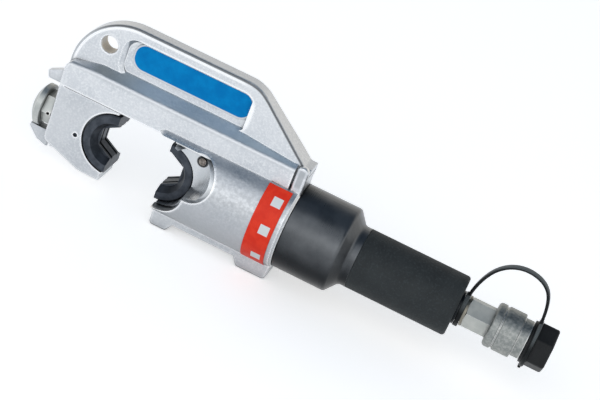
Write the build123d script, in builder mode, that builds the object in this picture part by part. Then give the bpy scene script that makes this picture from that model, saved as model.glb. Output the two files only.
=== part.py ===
"""Hydraulic crimping head: open jaw, sliding ram with dies, cylinder, grip and hose coupler.

All sizes are millimetres.  Stations along the ram axis are measured from the barrel's rear face,
positive towards the hose coupler, and heights are measured from the ram axis.
"""

import os
from math import asin, atan2, cos, degrees, hypot, radians, sin, sqrt, tan

from build123d import *

os.makedirs("parts", exist_ok=True)

# Dies and stroke
DIE_RADIUS = 22.5
DIE_WIDTH = 26.0
STROKE = 39.5
CLOSED_GAP = 0.4
HEX_SIDE = 13.0
FLARE_LENGTH = 6.0
FLARE_ANGLE = 30.0
GROOVE_WIDTH = 2.2
GROOVE_DEPTH = 1.2
GROOVE_PITCH = 8.0
DIE_EDGE = 1.0
SEAT_RELIEF = 1.1
SEAT_RELIEF_DEPTH = 2.2

# Head forging
HEAD_WIDTH = 26.0
FIN_WIDTH = 11.4
FIN_REAR_WIDTH = 16.8
FIN_SPREAD_END = 15.0
FIN_SPREAD_ROUND = 60.0
FIN_EDGE = 1.5
JAW_DEPTH = 49.5
JAW_LIP = 8.2
JAW_SETBACK = 1.8
CHIN_LENGTH = 31.0
CHIN_ANGLE = 19.5
CHIN_ROUND = 5.0
CHIN_BEND = 20.0
CHEEK_RECESS = 1.0
CHEEK_LINE = 0.9
CHEEK_LINE_START = 4.0
BEAM_GAP = 3.4
BEAM_DEPTH = 19.0
SLOPE_ANGLE = 35.5
SLOPE_RUNOUT = 30.0
SLOPE_RUNOUT_RATIOS = ((0.0, 0.02), (0.33, 0.35), (0.63, 0.8), (1.0, 1.0))
SHOULDER_ROUND = 3.5
BROW_ROUND = 9.0
BROW_EDGE = 1.6
FIN_HEIGHT = 41.0
FIN_REAR_ANGLE = 38.6
FIN_CORNER = 26.0
NOSE_DROP = 1.6
PAD_LENGTH = 4.8
PAD_RISE = 2.9
PAD_ROUND = 4.0
FORGED_EDGE = 1.2
HANG_HOLE_RADIUS = 6.1
HANG_HOLE_BACK = 23.7
HANG_HOLE_DROP = 20.0
HANG_HOLE_EDGE = 0.8
GUARD_WIDTH = 8.0
GUARD_LENGTH = 15.2
GUARD_TOP = -16.4
GUARD_DEPTH = 12.2
GUARD_BELLY = 9.8
GUARD_NOSE = 2.4
GUARD_ROOT = 12.0
EAR_WIDTH = 5.0
EAR_LENGTH = 14.0
EAR_BOTTOM = 21.2
EAR_TIP_TOP = 26.4
EAR_TIP_BACK = 1.6
EAR_ROOT_TOP = 33.6
EAR_ROOT = 6.0
EAR_ROUND = 1.2

# Name plate and its pocket
POCKET_LENGTH = 95.2
POCKET_DEPTH = 2.5
POCKET_BELOW_TOP = 8.4
POCKET_CORNER = 9.5
POCKET_REAR = 52.2
POCKET_DRAFT = 3.3
POCKET_SINK = 1.5
PLATE_GAP = 0.25
PLATE_FRONT_GAP = 4.6
PLATE_HEIGHT = 20.4
PLATE_ROUND = 9.2
PLATE_THICKNESS = 0.6

# Barrel, feet and rear lugs
BARREL_LENGTH = 92.5
BARREL_WALL = 5.4
BARREL_NOSE = 15.5
NOSE_ROUND = 8.0
NOTCH_CLEARANCE = 1.5
BUTTON_NOTCH_FROM_LOCK = (0.5, -7.6)
BUTTON_NOTCH_RADIUS = 15.4
NOTCH_RISE = 1.9
FOOT_HEIGHT = 9.2
KEEL_HEIGHT = 3.0
FRONT_FOOT_LENGTH = 13.0
REAR_FOOT_LENGTH = 24.0
REAR_FOOT_SETBACK = 1.6
FOOT_SLOPE = 4.0
FOOT_ROUND = 3.0
LUG_LENGTH = 8.5
LUG_WIDTH = 4.0
LUG_TOP = 49.5
LUG_GAP = 1.0
LUG_EDGE = 1.7
BARREL_CHAMFER = 1.8
BAND_WIDTH = 17.3
BAND_OFFSET = 4.8
BAND_THICKNESS = 0.3
BAND_HALF_ANGLE = 64.0
BAND_FIT = 0.12

# Ram
DIE_STANDOFF = 2.2
RAM_LIP = 1.5
RAM_SETBACK = 3.2
PISTON_RADIUS = 24.0
PISTON_END_GAP = 3.0
SEAL_WIDTH = 4.0
SEAL_DEPTH = 3.4
BACKUP_WIDTH = 1.4
WEAR_RING_WIDTH = 4.0
WEAR_RING_DEPTH = 1.5
SPRING_BORE_RADIUS = 11.0
SPRING_BORE_LENGTH = 96.0
RETAINER_WIDTH = 5.0
RETAINER_STEP = 2.0
KEY_RADIUS = 3.0
KEY_DEPTH = 3.0
KEY_STATION = 70.0
KEY_SCREW_RADIUS = 4.5
WIPER_WIDTH = 4.5
WIPER_DEPTH = 2.8
WIPER_STATION = 46.0

# Die lock in the ram
FLAT_RADIUS = 14.0
FLAT_FROM_LOCK = (-6.0, -8.1)
FLAT_TAPER = 18.0
LOCK_BELOW_RIM = 3.6
LOCK_BEHIND_DIE = 9.3
LOCK_RADIUS = 3.3
BUTTON_RADIUS = 2.6
LOCK_TRAVEL = 5.0
LOCK_BACKING = 2.6
LOCK_SPRING_ROOM = 10.5
LOCK_WIRE = 0.7
LOCK_TURNS = 5
CLIP_THICKNESS = 0.8
CLIP_STEP = 0.7
PLUNGER_RADIUS = 2.5
PLUNGER_BITE = 1.3

# Die latch in the fixed jaw
LATCH_TRAVEL = 5.0
LATCH_RADIUS = 5.0
LATCH_BITE = 4.0
LATCH_END_GAP = 1.0
LATCH_TAIL_RADIUS = 3.0
BUSH_FLATS = 21.0
BUSH_HEAD = 7.0
BUSH_SHANK = 13.0
BUSH_RADIUS = 8.5
BUSH_WALL = 2.0
BUSH_END_WALL = 3.3
BUSH_HOLE_RADIUS = 1.2
KNOB_RADIUS = 15.3
KNOB_RIM = 4.0
KNOB_DOME = 5.4
KNOB_GAP = 0.3
STOP_PIN_RADIUS = 1.6
STOP_PIN_OFFSET = (27.9, -5.5)
STOP_PIN_RECESS = 1.0
LATCH_WIRE = 1.0
LATCH_TURNS = 7

# Cylinder, return spring and grip
CYLINDER_WALL = 7.0
CYLINDER_LENGTH = 39.3
NECK_LENGTH = 24.0
NECK_WALL = 5.5
NECK_COVER = 3.4
FLOOR_THICKNESS = 10.0
CONE_LENGTH = 7.3
CONE_ROUND = 3.0
CONE_COLLAR = 5.0
CONE_FOOT_ROUND = 4.0
GRIP_RADIUS = 21.9
GRIP_LENGTH = 74.4
GRIP_WALL = 4.4
GRIP_LIP = 5.0
GRIP_ROUND = 2.2
BOSS_RADIUS = 12.0
BOSS_LENGTH = 1.6
OIL_RADIUS = 3.0
BOLT_RADIUS = 4.0
BOLT_OIL_RADIUS = 1.5
BOLT_HEAD_RADIUS = 9.5
BOLT_HEAD_LENGTH = 5.0
BOLT_HEAD_GAP = 3.0
RETURN_WIRE = 2.6
RETURN_TURNS = 11

# Hose coupler and dust cap
STRAP_RING_WIDTH = 3.6
STRAP_RING_WALL = 4.4
WASHER_WIDTH = 1.7
WASHER_RADIUS = 11.0
STUB_RADIUS = 8.3
STUB_LENGTH = 20.0
HEX_FLATS = 20.0
HEX_LENGTH = 18.0
HEX_TURN = 40.0
FRONT_STUB_RADIUS = 8.0
FRONT_STUB_LENGTH = 5.8
COUPLER_RADIUS = 12.0
COUPLER_LENGTH = 23.6
CHAMBER_RADIUS = 6.0
VALVE_TRAVEL = 3.0
SEAT_RADIUS = 3.6
SEAT_LENGTH = 1.5
SOCKET_RADIUS = 7.2
COLLAR_RADIUS = 16.0
COLLAR_RIM = 6.0
COLLAR_GROOVE = 1.2
COLLAR_BAND = 12.8
COLLAR_NECK = 6.3
COLLAR_NECK_RADIUS = 13.8
COLLAR_ROUND = 1.0
COLLAR_BULGE = 2.6
SNAP_WIRE_RADIUS = 0.7
SOCKET_SEAL_RADIUS = 0.9
SOCKET_SEAL_LIP = 0.2
POPPET_WIRE = 0.7
POPPET_TURNS = 6
POPPET_SPRING_POCKET = 6.0
POPPET_SKIRT = 4.5
POPPET_NOSE_RADIUS = 2.9
POPPET_WALL = 1.2
CAP_GAP = 0.6
CAP_FLANGE = 1.8
CAP_FLANGE_RADIUS = 15.2
CAP_GROOVE_RADIUS = 12.5
CAP_KNOB_FLATS = 29.0
CAP_KNOB_LENGTH = 12.2
CAP_KNOB_TURN = 18.0
CAP_PLUG_LENGTH = 6.4
CAP_ROUND = 1.6
CAP_EDGE = 3.0
CAP_STRAP_RING = 2.9
STRAP_THICKNESS = 2.2
STRAP_WIDTH = 5.0
STRAP_ARCH_HEIGHT = 46.9
STRAP_ARCH_RATIOS = (
    (0.0, 0.26),
    (0.05, 0.5),
    (0.17, 0.77),
    (0.34, 0.93),
    (0.5, 1.0),
    (0.66, 1.0),
    (0.81, 0.93),
    (0.91, 0.83),
    (0.97, 0.7),
    (1.0, 0.5),
)
STRAP_CAP_RING_WALL = 4.6
STRAP_TAB = 3.6

# Fits and clearances
SEAT_FIT = 0.05
RAM_FIT = 0.1
PISTON_FIT = 0.08
THREAD_FIT = 0.05
SLIDE_FIT = 0.1
LOOSE_FIT = 0.25
STOP_GAP = 0.3
SMALL_EDGE = 0.6

# Stations along the ram axis
moving_face = -(BARREL_LENGTH + DIE_STANDOFF)
fixed_face = moving_face - STROKE - CLOSED_GAP
jaw_end = fixed_face - JAW_DEPTH
jaw_tip = fixed_face - JAW_SETBACK
ram_front = moving_face + RAM_SETBACK
cone_end = CYLINDER_LENGTH + CONE_LENGTH
bore_end = cone_end - FLOOR_THICKNESS
piston_end = bore_end - PISTON_END_GAP
grip_start = cone_end + CONE_COLLAR
grip_end = grip_start + GRIP_LENGTH
boss_end = grip_end + BOSS_LENGTH
washer_start = boss_end + STRAP_RING_WIDTH
hex_start = washer_start + WASHER_WIDTH
hex_end = hex_start + HEX_LENGTH
coupler_end = hex_end + COUPLER_LENGTH
collar_start = hex_end - STOP_GAP
collar_end = collar_start + COLLAR_RIM + COLLAR_GROOVE + COLLAR_BAND + COLLAR_NECK
cap_start = collar_end + CAP_GAP
cap_ring_start = cap_start + CAP_FLANGE
knob_start = cap_ring_start + CAP_STRAP_RING + LOOSE_FIT
rear_end = knob_start + CAP_KNOB_LENGTH
bush_end = jaw_end - BUSH_HEAD
latch_knob_start = bush_end - KNOB_GAP
front_end = latch_knob_start - KNOB_RIM - KNOB_DOME

# Radii and heights from the ram axis
ram_radius = hypot(DIE_RADIUS, DIE_WIDTH / 2) + RAM_LIP
ram_bore = ram_radius + RAM_FIT
neck_radius = PISTON_RADIUS + NECK_WALL
barrel_radius = max(ram_bore + BARREL_WALL, neck_radius + NECK_COVER)
cylinder_radius = PISTON_RADIUS + CYLINDER_WALL
beam_under = DIE_RADIUS + BEAM_GAP
beam_top = beam_under + BEAM_DEPTH
fin_top = beam_top + FIN_HEIGHT
pad_top = beam_top + PAD_RISE
foot_bottom = -(barrel_radius + FOOT_HEIGHT)
keel_bottom = -(barrel_radius + KEEL_HEIGHT)
half_head = HEAD_WIDTH / 2
half_fin = FIN_WIDTH / 2
half_fin_rear = FIN_REAR_WIDTH / 2
pocket_floor = half_fin - POCKET_DEPTH

# The part stands on its feet, with its middle over the origin
rear_face = -(front_end + rear_end) / 2
AXIS_POINT = (rear_face, 0, -foot_bottom)
RAM_AXIS = Axis(AXIS_POINT, (1, 0, 0))
SIDE = Plane(origin=AXIS_POINT, x_dir=(1, 0, 0), z_dir=(0, -1, 0))
CROSS = Plane(origin=AXIS_POINT, x_dir=(0, 1, 0), z_dir=(1, 0, 0))


def side_outline(*points):
    """A closed straight-sided face of (station, height) points on the middle plane."""
    with BuildSketch(SIDE) as outline:
        with BuildLine():
            Polyline(*points, close=True)
        make_face()
    return outline.sketch


def ring_outline(start, end, inner, outer):
    """A rectangle that turns about the ram axis into a ring."""
    return side_outline((start, inner), (end, inner), (end, outer), (start, outer))


def disc(station, length, radius):
    """A plain cylinder on the ram axis."""
    with BuildPart() as cylinder_block:
        with BuildSketch(CROSS.offset(station)):
            Circle(radius)
        extrude(amount=length)
    return cylinder_block.part


def hexagon(station, length, flats, turn=0):
    """A hexagonal prism on the ram axis, measured across its flats."""
    with BuildPart() as prism:
        with BuildSketch(CROSS.offset(station)):
            RegularPolygon(flats / 2, 6, major_radius=False, rotation=turn)
        extrude(amount=length)
    return prism.part


def cross_rod(station, height, radius, start, end):
    """A cylinder that runs across the part, from one y to another."""
    with BuildPart() as rod:
        with BuildSketch(SIDE.offset(-start)):
            with Locations((station, height)):
                Circle(radius)
        extrude(amount=start - end)
    return rod.part


def coil(plane, length, mean_radius, wire, turns):
    """A round-wire spring that fills a length along the plane's normal."""
    height = length - wire - 2 * THREAD_FIT
    start = plane.offset(wire / 2 + THREAD_FIT)
    with BuildPart() as spring:
        with BuildLine():
            path = Helix(height / turns, height, mean_radius, center=start.origin, direction=start.z_dir)
        with BuildSketch(Plane(origin=path @ 0, z_dir=path % 0)):
            Circle(wire / 2)
        sweep(path=path, is_frenet=True)
    return spring.part


def die(face, side):
    """Half of the die pair: a half disc with a half-hexagon cavity, facing away from side."""
    half_width = DIE_WIDTH / 2
    land = half_width - FLARE_LENGTH
    with BuildPart() as half:
        with BuildSketch(SIDE):
            with BuildLine():
                ThreePointArc((face, -DIE_RADIUS), (face + side * DIE_RADIUS, 0), (face, DIE_RADIUS))
                Line((face, DIE_RADIUS), (face, -DIE_RADIUS))
            make_face()
        extrude(amount=half_width, both=True)
        chamfer(half.edges().filter_by(GeomType.CIRCLE), DIE_EDGE)
        with BuildSketch(SIDE):
            with Locations((face, 0)):
                RegularPolygon(HEX_SIDE, 6, rotation=90)
        extrude(amount=half_width, both=True, mode=Mode.SUBTRACT)
        for end in (1, -1):
            with BuildSketch(SIDE.offset(end * land)):
                with Locations((face, 0)):
                    Circle(HEX_SIDE)
            extrude(amount=end * FLARE_LENGTH, taper=-FLARE_ANGLE, mode=Mode.SUBTRACT)
            with BuildSketch(SIDE.offset(end * GROOVE_PITCH / 2)):
                with Locations((face, 0)):
                    RegularPolygon(HEX_SIDE + GROOVE_DEPTH, 6, rotation=90)
            extrude(amount=GROOVE_WIDTH / 2, both=True, mode=Mode.SUBTRACT)
    return half.part


def corner(sketch, station, height):
    """The corner of an outline nearest to a place in it."""
    return min(sketch.vertices(), key=lambda vertex: hypot(vertex.X - station, vertex.Y - height))


def outer_edges(shape, half_width, below):
    """The edges of a flat shape's two side faces that lie below a height."""
    return [
        edge
        for edge in shape.edges()
        if abs(abs(edge.center().Y) - half_width) < SEAT_FIT and edge.center().Z < AXIS_POINT[2] + below
    ]


def rims(shape, radius):
    """The round edges of a turned shape that have one radius, from front to rear."""
    circles = shape.edges().filter_by(GeomType.CIRCLE).sort_by(Axis.X)
    return [edge for edge in circles if abs(edge.radius - radius) < SEAT_FIT]


def wire_ring(station, radius, wire_radius):
    """The round section of a ring about the ram axis."""
    with BuildSketch(SIDE) as section:
        with Locations((station, radius)):
            Circle(wire_radius)
    return section.sketch


def groove_outline(station, radius, half_size):
    """The square section of a groove about the ram axis that holds a round ring."""
    return ring_outline(station - half_size, station + half_size, radius - half_size, radius + half_size)


def save(shape, name):
    """Labels a sub-part and writes it to its own file."""
    shape.part.label = name
    export_step(shape.part, f"parts/{name}.step")


# Beam with a sloping shoulder up to the fin, which runs out at the front and also closes the pockets' feet
beam_end = -(LUG_LENGTH + LUG_GAP)
slope_rise = (half_head - pocket_floor) * tan(radians(SLOPE_ANGLE))
slope_top = beam_top + slope_rise


def shoulder_section(station, part_of_rise):
    """The beam's cross-section at a station, with its shoulder raised by a part of its full rise."""
    crest = beam_top + part_of_rise * slope_rise
    with BuildSketch(CROSS.offset(station)) as section:
        with BuildLine():
            Polyline(
                (-half_head, beam_under),
                (-half_head, beam_top),
                (-pocket_floor, crest),
                (pocket_floor, crest),
                (half_head, beam_top),
                (half_head, beam_under),
                close=True,
            )
        make_face()
        for side in (1, -1):
            fillet(corner(section, side * half_head, beam_top), SHOULDER_ROUND)
    return section.sketch


slope_rear = -PAD_LENGTH - (slope_top - pad_top) / tan(radians(FIN_REAR_ANGLE))
slope_end_top = pad_top + (-PAD_LENGTH - beam_end) * tan(radians(FIN_REAR_ANGLE))
slope_full = jaw_end + SLOPE_RUNOUT
with BuildPart() as beam:
    loft([shoulder_section(jaw_end + along * SLOPE_RUNOUT, rise) for along, rise in SLOPE_RUNOUT_RATIOS])
    extrude(shoulder_section(slope_full, 1), amount=beam_end - slope_full)
    with BuildSketch(SIDE) as beam_limits:
        with BuildLine():
            Polyline(
                (jaw_end, beam_under),
                (jaw_end, beam_top),
                (slope_full, slope_top),
                (slope_rear, slope_top),
                (beam_end, slope_end_top),
                (beam_end, beam_under),
                close=True,
            )
        make_face()
        fillet(corner(beam_limits, jaw_end, beam_top), BROW_ROUND)
    extrude(amount=half_head, both=True, mode=Mode.INTERSECT)
    brow_end = rear_face + jaw_end + BROW_ROUND
    brow_edges = [edge for edge in outer_edges(beam, half_head, beam_top) if edge.center().X < brow_end]
    fillet(brow_edges, BROW_EDGE)

# Fixed jaw, a little thinner than the beam
jaw_root = beam_under + BEAM_DEPTH / 3
jaw_bottom = -(DIE_RADIUS + JAW_LIP)
chin_front = jaw_end + CHIN_LENGTH
chin_back = jaw_bottom + CHIN_LENGTH * tan(radians(CHIN_ANGLE))
half_jaw = half_head - CHEEK_RECESS
with BuildPart() as jaw:
    with BuildSketch(SIDE) as jaw_shape:
        with BuildLine():
            Polyline(
                (jaw_end, jaw_root),
                (jaw_tip, jaw_root),
                (jaw_tip, jaw_bottom),
                (chin_front, jaw_bottom),
                (jaw_end, chin_back),
                close=True,
            )
        make_face()
        fillet(corner(jaw_shape, jaw_end, chin_back), CHIN_ROUND)
        fillet(corner(jaw_shape, chin_front, jaw_bottom), CHIN_BEND)
        fillet(corner(jaw_shape, jaw_tip, jaw_bottom), FORGED_EDGE)
    extrude(amount=half_jaw, both=True)
    fillet(outer_edges(jaw, half_jaw, beam_under - FORGED_EDGE), FORGED_EDGE)

# Spine fin, with its hanging hole and the name plate pockets
fin_rear = -PAD_LENGTH - (fin_top - pad_top) / tan(radians(FIN_REAR_ANGLE))
hang_hole = (jaw_end + HANG_HOLE_BACK, fin_top - HANG_HOLE_DROP)
pocket_top = fin_top - POCKET_BELOW_TOP
pocket_foot = beam_top + (half_head - half_fin) * tan(radians(SLOPE_ANGLE)) - POCKET_SINK
with BuildPart() as fin:
    with BuildSketch(SIDE) as fin_shape:
        with BuildLine():
            Polyline(
                (jaw_end, beam_under),
                (jaw_end, fin_top),
                (fin_rear, fin_top),
                (-PAD_LENGTH, pad_top),
                (0, pad_top),
                (0, beam_under),
                close=True,
            )
        make_face()
        fillet(corner(fin_shape, jaw_end, fin_top), FIN_HEIGHT + NOSE_DROP)
        fillet(corner(fin_shape, fin_rear, fin_top), FIN_CORNER)
        fillet(corner(fin_shape, -PAD_LENGTH, pad_top), PAD_ROUND)
    extrude(amount=half_fin_rear, both=True)
    with BuildSketch(Plane(origin=AXIS_POINT)) as fin_plan:
        with BuildLine():
            Polyline(
                (jaw_end, half_fin),
                (-POCKET_REAR, half_fin),
                (-FIN_SPREAD_END, half_fin_rear),
                (0, half_fin_rear),
                (0, -half_fin_rear),
                (-FIN_SPREAD_END, -half_fin_rear),
                (-POCKET_REAR, -half_fin),
                (jaw_end, -half_fin),
                close=True,
            )
        make_face()
        for side in (1, -1):
            fillet(corner(fin_plan, -POCKET_REAR, side * half_fin), FIN_SPREAD_ROUND)
            fillet(corner(fin_plan, -FIN_SPREAD_END, side * half_fin_rear), FIN_SPREAD_ROUND)
    extrude(amount=fin_top, mode=Mode.INTERSECT)
    crest_edges = [
        edge
        for edge in fin.edges().filter_by(Axis.Y, reverse=True).filter_by(Axis.Z, reverse=True)
        if edge.center().Z > AXIS_POINT[2] + beam_top
    ]
    fillet(crest_edges, FIN_EDGE)
    with BuildSketch(SIDE):
        with Locations(hang_hole):
            Circle(HANG_HOLE_RADIUS)
    extrude(amount=half_fin, both=True, mode=Mode.SUBTRACT)
    fillet(rims(fin, HANG_HOLE_RADIUS), HANG_HOLE_EDGE)
    pocket_height = pocket_top - pocket_foot
    pocket_middle = (pocket_top + pocket_foot) / 2
    for side in (1, -1):
        with BuildSketch(SIDE.offset(side * pocket_floor)):
            with Locations((-POCKET_REAR - POCKET_LENGTH / 2, pocket_middle)):
                RectangleRounded(POCKET_LENGTH, pocket_height, POCKET_CORNER)
        extrude(amount=side * POCKET_DEPTH, mode=Mode.SUBTRACT)
        with BuildSketch(SIDE.offset(side * pocket_floor)):
            with Locations((-POCKET_REAR - POCKET_LENGTH + pocket_height / 2, pocket_middle)):
                RectangleRounded(
                    pocket_height,
                    pocket_height - 2 * POCKET_DRAFT,
                    POCKET_CORNER - POCKET_DRAFT,
                )
        draft = degrees(atan2(POCKET_DRAFT, POCKET_DEPTH))
        extrude(amount=side * POCKET_DEPTH, taper=-draft, mode=Mode.SUBTRACT)

# Barrel shell with a rounded nose that runs out under the beam
with BuildPart() as barrel:
    add(disc(-BARREL_LENGTH - BARREL_NOSE, BARREL_LENGTH + BARREL_NOSE, barrel_radius))
    fillet(barrel.edges().sort_by(Axis.X)[0], NOSE_ROUND)
    chamfer(barrel.edges().sort_by(Axis.X)[-1], BARREL_CHAMFER)

# Keel with a foot at each end
front_foot = -BARREL_LENGTH
rear_foot = -REAR_FOOT_LENGTH
with BuildPart() as underside:
    with BuildSketch(SIDE) as keel_shape:
        with BuildLine():
            Polyline(
                (front_foot, -DIE_RADIUS),
                (front_foot, foot_bottom),
                (front_foot + FRONT_FOOT_LENGTH, foot_bottom),
                (front_foot + FRONT_FOOT_LENGTH + FOOT_SLOPE, keel_bottom),
                (rear_foot - FOOT_SLOPE, keel_bottom),
                (rear_foot, foot_bottom),
                (-REAR_FOOT_SETBACK, foot_bottom),
                (0, -DIE_RADIUS),
                close=True,
            )
        make_face()
        for foot_corner in (
            (front_foot, foot_bottom),
            (front_foot + FRONT_FOOT_LENGTH, foot_bottom),
            (rear_foot, foot_bottom),
            (-REAR_FOOT_SETBACK, foot_bottom),
        ):
            fillet(corner(keel_shape, *foot_corner), FOOT_ROUND)
    extrude(amount=half_head, both=True)
    fillet(outer_edges(underside, half_head, -DIE_RADIUS - FORGED_EDGE), FORGED_EDGE)

# Guards below and above the latch knob
guard_tip = jaw_end - GUARD_LENGTH
with BuildPart() as guard:
    guard_outline = side_outline(
        (guard_tip + SMALL_EDGE, GUARD_TOP),
        (guard_tip, GUARD_TOP - GUARD_NOSE),
        (guard_tip + GUARD_LENGTH / 2, GUARD_TOP - GUARD_BELLY),
        (jaw_end, GUARD_TOP - GUARD_DEPTH),
        (jaw_end + GUARD_ROOT, GUARD_TOP - GUARD_BELLY),
        (jaw_end + GUARD_ROOT, GUARD_TOP),
    )
    extrude(guard_outline, amount=GUARD_WIDTH / 2, both=True)
    fillet(outer_edges(guard, GUARD_WIDTH / 2, GUARD_TOP + SMALL_EDGE), SMALL_EDGE)

ear_tip = jaw_end - EAR_LENGTH
with BuildPart() as ear:
    with BuildSketch(SIDE) as ear_shape:
        with BuildLine():
            Polyline(
                (ear_tip, EAR_TIP_TOP),
                (ear_tip + EAR_TIP_BACK, EAR_BOTTOM),
                (jaw_end + EAR_ROOT, EAR_BOTTOM),
                (jaw_end + EAR_ROOT, EAR_ROOT_TOP),
                (jaw_end, EAR_ROOT_TOP),
                close=True,
            )
        make_face()
        fillet(corner(ear_shape, ear_tip, EAR_TIP_TOP), EAR_ROUND)
        fillet(corner(ear_shape, ear_tip + EAR_TIP_BACK, EAR_BOTTOM), EAR_ROUND)
    extrude(amount=EAR_WIDTH / 2, both=True)
    fillet(outer_edges(ear, EAR_WIDTH / 2, beam_top), SMALL_EDGE)

# Round-topped lug beside the spine's rear end
lug_shoulder = LUG_TOP - LUG_LENGTH / 2
with BuildPart() as lug:
    with BuildSketch(SIDE.offset(half_head - LUG_WIDTH)):
        with BuildLine():
            Polyline((-LUG_LENGTH, lug_shoulder), (-LUG_LENGTH, 0), (0, 0), (0, lug_shoulder))
            ThreePointArc((0, lug_shoulder), (-LUG_LENGTH / 2, LUG_TOP), (-LUG_LENGTH, lug_shoulder))
        make_face()
    extrude(amount=LUG_WIDTH)
    fillet(outer_edges(lug, half_head, LUG_TOP), LUG_EDGE)

# The one-piece head: the shapes above, less its bores, seats and notches
lock_distance = DIE_RADIUS + LOCK_BEHIND_DIE
lock_height = sqrt(ram_radius**2 - (DIE_WIDTH / 2) ** 2) - LOCK_BELOW_RIM
lock_angle = asin(lock_height / lock_distance)
lock_station = moving_face + lock_distance * cos(lock_angle)
button_notch = (lock_station + BUTTON_NOTCH_FROM_LOCK[0], lock_height + BUTTON_NOTCH_FROM_LOCK[1])
notch_end = button_notch[0]
notch_top = beam_under + NOTCH_RISE
cheek_line = jaw_tip - jaw_end - CHEEK_LINE_START
stop_pin_station = fixed_face - STOP_PIN_OFFSET[0]
stop_pin_height = STOP_PIN_OFFSET[1]
with BuildPart() as head_frame:
    for shape in (beam, jaw, fin, barrel, underside, guard, ear, lug):
        add(shape.part)
    throat = side_outline(
        (jaw_tip, beam_under),
        (-BARREL_LENGTH, beam_under),
        (-BARREL_LENGTH, foot_bottom - FOOT_HEIGHT),
        (jaw_tip, foot_bottom - FOOT_HEIGHT),
    )
    extrude(throat, amount=2 * barrel_radius, both=True, mode=Mode.SUBTRACT)
    ram_travel_start = ram_front - STROKE - CLOSED_GAP
    add(disc(ram_travel_start, -NECK_LENGTH - ram_travel_start, ram_bore), mode=Mode.SUBTRACT)
    add(disc(-NECK_LENGTH - STOP_GAP, NECK_LENGTH + STOP_GAP, neck_radius + THREAD_FIT), mode=Mode.SUBTRACT)
    wiper_groove = ring_outline(-WIPER_STATION, -WIPER_STATION + WIPER_WIDTH, 0, ram_bore + WIPER_DEPTH)
    revolve(wiper_groove, axis=RAM_AXIS, mode=Mode.SUBTRACT)
    with BuildSketch(SIDE):
        with Locations((fixed_face, 0)):
            Circle(DIE_RADIUS + SEAT_FIT)
        with Locations((moving_face, 0)):
            Circle(DIE_RADIUS + NOTCH_CLEARANCE)
    extrude(amount=2 * barrel_radius, both=True, mode=Mode.SUBTRACT)
    for side in (1, -1):
        with BuildSketch(SIDE.offset(side * (half_jaw - SEAT_RELIEF_DEPTH))):
            with Locations((fixed_face, 0)):
                Circle(DIE_RADIUS + SEAT_RELIEF)
        extrude(amount=side * half_head, mode=Mode.SUBTRACT)
        with BuildSketch(SIDE.offset(side * (half_jaw - CHEEK_LINE))):
            with Locations((jaw_tip, beam_under)):
                Rectangle(cheek_line, CHEEK_LINE, align=(Align.MAX, Align.MAX))
        extrude(amount=side * half_head, mode=Mode.SUBTRACT)
        with BuildSketch(SIDE.offset(side * half_head)):
            with Locations(button_notch):
                Circle(BUTTON_NOTCH_RADIUS)
            with Locations((notch_end, notch_top)):
                Rectangle(2 * BARREL_LENGTH, notch_top, align=(Align.MAX, Align.MAX))
        extrude(amount=side * 2 * barrel_radius, mode=Mode.SUBTRACT)
    add(disc(jaw_end, JAW_DEPTH - HEX_SIDE, LATCH_RADIUS + SLIDE_FIT), mode=Mode.SUBTRACT)
    add(disc(jaw_end, BUSH_SHANK, BUSH_RADIUS + THREAD_FIT), mode=Mode.SUBTRACT)
    stop_pin_hole = cross_rod(stop_pin_station, stop_pin_height, STOP_PIN_RADIUS, half_head, -half_head)
    add(stop_pin_hole, mode=Mode.SUBTRACT)
    with BuildSketch(Plane(origin=(rear_face - KEY_STATION, 0, 0))):
        Circle(KEY_SCREW_RADIUS + THREAD_FIT)
    extrude(amount=-foot_bottom - ram_radius / 2, mode=Mode.SUBTRACT)
save(head_frame, "head_frame")

# Fixed die, with a hole in its back for the latch
with BuildPart() as fixed_die:
    add(die(fixed_face, -1))
    latch_hole = disc(fixed_face - DIE_RADIUS, LATCH_BITE + LATCH_END_GAP, LATCH_RADIUS + LOOSE_FIT)
    add(latch_hole, mode=Mode.SUBTRACT)
save(fixed_die, "fixed_die")

# Moving die, with a dimple in its back for the lock plunger
lock_direction = (cos(lock_angle), 0, sin(lock_angle))
die_centre = (rear_face + moving_face, 0, AXIS_POINT[2])


def plunger_plane(distance):
    """A plane across the lock plunger, at a distance from the moving die's centre."""
    return Plane(origin=die_centre, z_dir=lock_direction).offset(distance)


with BuildPart() as moving_die:
    add(die(moving_face, 1))
    with BuildSketch(plunger_plane(DIE_RADIUS - PLUNGER_BITE - SLIDE_FIT)):
        Circle(PLUNGER_RADIUS + LOOSE_FIT)
    extrude(amount=2 * PLUNGER_BITE, mode=Mode.SUBTRACT)
save(moving_die, "moving_die")

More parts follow.
